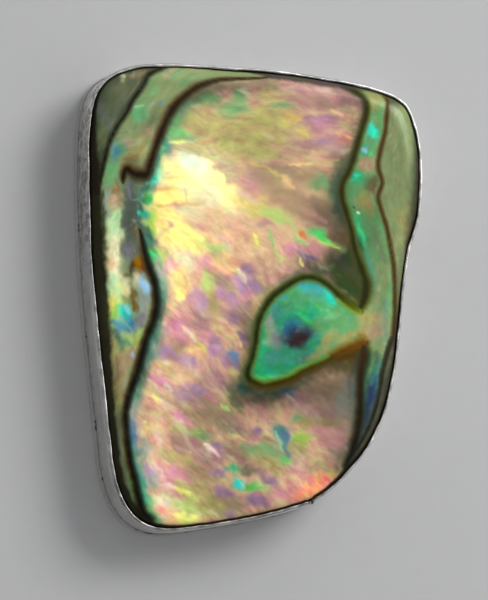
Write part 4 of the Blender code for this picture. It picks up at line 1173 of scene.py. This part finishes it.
opaque = np.ones((len(pixels), 1))
store("tint", "FLOAT_COLOR", np.hstack([tint, opaque]))
store("flank", "FLOAT_COLOR", np.hstack([flank, opaque]))
store("core", "FLOAT_COLOR", np.hstack([core, opaque]))
store("line", "FLOAT", line_ratio)
store("edge", "FLOAT", edge_ratio)
store("lively", "FLOAT", lively)
store("flow", "FLOAT_VECTOR", flow)
store("low_flow", "FLOAT_VECTOR", low_flow)
store("lower", "FLOAT", lower)


def fade(tree, value, start, end, low=0.0, high=1.0):
    """A smooth step from low to high as value goes from start to end."""
    made = add_node(tree, "ShaderNodeMapRange",
                    {"Value": value, "From Min": start, "From Max": end, "To Min": low,
                     "To Max": high}, interpolation_type="SMOOTHSTEP")
    return made.outputs[0]


def streaks(tree, flows, share, scale, detail, shift):
    """A noise drawn out along the nacre's two flows, blended, about its middle value."""
    found = []
    for vector in flows:
        moved = add_node(tree, "ShaderNodeVectorMath",
                         {0: vector, 1: (shift, shift * 0.7, shift)}, operation="ADD")
        made = add_node(tree, "ShaderNodeTexNoise",
                        {"Vector": moved.outputs[0], "Scale": scale, "Detail": detail,
                         "Roughness": 0.5, "Distortion": 0.12})
        found.append(made.outputs[0])
    both = add_node(tree, "ShaderNodeMix", {0: share, 2: found[0], 3: found[1]})
    return math_node(tree, "SUBTRACT", both.outputs[0], 0.5)


nacre, tree, shader = new_material("polished_nacre")
place = add_node(tree, "ShaderNodeTexCoord").outputs["Object"]
tint_in = add_node(tree, "ShaderNodeAttribute", attribute_name="tint").outputs["Color"]
core_in = add_node(tree, "ShaderNodeAttribute", attribute_name="core").outputs["Color"]
flank_in = add_node(tree, "ShaderNodeAttribute", attribute_name="flank").outputs["Color"]
line_in = add_node(tree, "ShaderNodeAttribute", attribute_name="line").outputs["Fac"]
edge_in = add_node(tree, "ShaderNodeAttribute", attribute_name="edge").outputs["Fac"]
flows = [
    add_node(tree, "ShaderNodeAttribute", attribute_name=name).outputs["Vector"]
    for name in ("flow", "low_flow")
]
lower_in = add_node(tree, "ShaderNodeAttribute", attribute_name="lower").outputs["Fac"]
lively_in = add_node(tree, "ShaderNodeAttribute", attribute_name="lively").outputs["Fac"]
broad = streaks(tree, flows, lower_in, 0.7, 2.0, 0.0)
fine = streaks(tree, flows, lower_in, 1.7, 2.0, 7.3)
light = streaks(tree, flows, lower_in, 0.8, 2.0, 15.1)
hue = math_node(tree, "ADD", math_node(tree, "MULTIPLY", broad, 0.20),
                math_node(tree, "MULTIPLY", fine, 0.10))
hue = math_node(tree, "MULTIPLY", hue, lively_in)
# Lighter and darker along the streaks: the nacre's own banding with a painted satin sheen.
value = math_node(tree, "ADD", math_node(tree, "MULTIPLY", light, 1.0),
                  math_node(tree, "MULTIPLY", fine, 0.3))
value = math_node(tree, "MULTIPLY", value, lively_in)
varied = add_node(tree, "ShaderNodeHueSaturation",
                  {"Hue": math_node(tree, "ADD", hue, 0.5), "Saturation": 1.12,
                   "Value": math_node(tree, "ADD", value, 1.0), "Color": tint_in})
# Painted highlights: pale glints along the nacre's streaks, only where it is lively.
painted_glint = fade(tree, streaks(tree, flows, lower_in, 0.7, 1.5, 23.7), 0.08, 0.32, 0.0, 0.34)
painted_glint = math_node(tree, "MULTIPLY", painted_glint, math_node(tree, "POWER", lively_in, 2.0))
colour = mix_colours(tree, painted_glint, varied.outputs[0], (0.90, 0.78, 0.56, 1.0))
rough_edge = add_node(tree, "ShaderNodeTexNoise",
                      {"Vector": place, "Scale": 1300.0, "Detail": 4.0, "Roughness": 0.6})
waver = math_node(tree, "SUBTRACT", rough_edge.outputs[0], 0.5)
line_at = math_node(tree, "ADD", line_in, math_node(tree, "MULTIPLY", waver, 0.9))
colour = mix_colours(tree, fade(tree, line_at, 2.3, 0.8, 0.0, 0.95), colour, flank_in)
in_line = fade(tree, line_at, 1.3, 0.1)
colour = mix_colours(tree, in_line, colour, core_in)
edge_at = math_node(tree, "ADD", edge_in, math_node(tree, "MULTIPLY", waver, 0.5))
# Painted shade under the wall's lip, over the shell's own dark edge: near black, a little less dark to the right,
# lighter grey along the top and browner at the lower left, with a softer edge on the right.
sides = add_node(tree, "ShaderNodeSeparateXYZ", {0: place})
to_top = fade(tree, sides.outputs["Y"], 0.0135, 0.0165)
to_right = fade(tree, sides.outputs["X"], 0.004, 0.011)
band = mix_colours(tree, to_right, (0.014, 0.010, 0.004, 1.0), (0.024, 0.016, 0.012, 1.0))
band = mix_colours(tree, math_node(tree, "MULTIPLY", to_top, 0.8), band, (0.07, 0.064, 0.055, 1.0))
to_end = fade(tree, sides.outputs["Y"], -0.0135, -0.016)
to_end = math_node(tree, "MULTIPLY", to_end, fade(tree, sides.outputs["X"], -0.0085, -0.005))
band = mix_colours(tree, to_end, band, (0.05, 0.032, 0.022, 1.0))
crisp = fade(tree, edge_at, 1.3, 0.7, 0.0, 0.96)
soft = fade(tree, edge_at, 1.7, 0.1, 0.0, 0.96)
in_band = add_node(tree, "ShaderNodeMix", {0: to_right, 2: crisp, 3: soft}).outputs[0]
colour = mix_colours(tree, in_band, colour, band)
tree.links.new(colour, shader.inputs["Base Color"])
nacre_share = math_node(tree, "SUBTRACT", 1.0, math_node(tree, "MAXIMUM", in_line, in_band))
tree.links.new(math_node(tree, "MULTIPLY", nacre_share, 0.1), shader.inputs["Metallic"])
tree.links.new(math_node(tree, "MULTIPLY", nacre_share, 0.18), shader.inputs["Coat Weight"])
shader.inputs["Roughness"].default_value = 0.34
shader.inputs["Specular IOR Level"].default_value = 0.08
shader.inputs["Coat Roughness"].default_value = 0.14
layers = add_node(tree, "ShaderNodeBump", {"Strength": 0.12, "Distance": 0.00003, "Height": fine})
tree.links.new(layers.outputs[0], shader.inputs["Normal"])
shell.data.materials.append(nacre)
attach(shell, "root")
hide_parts("abalone_cabochon")
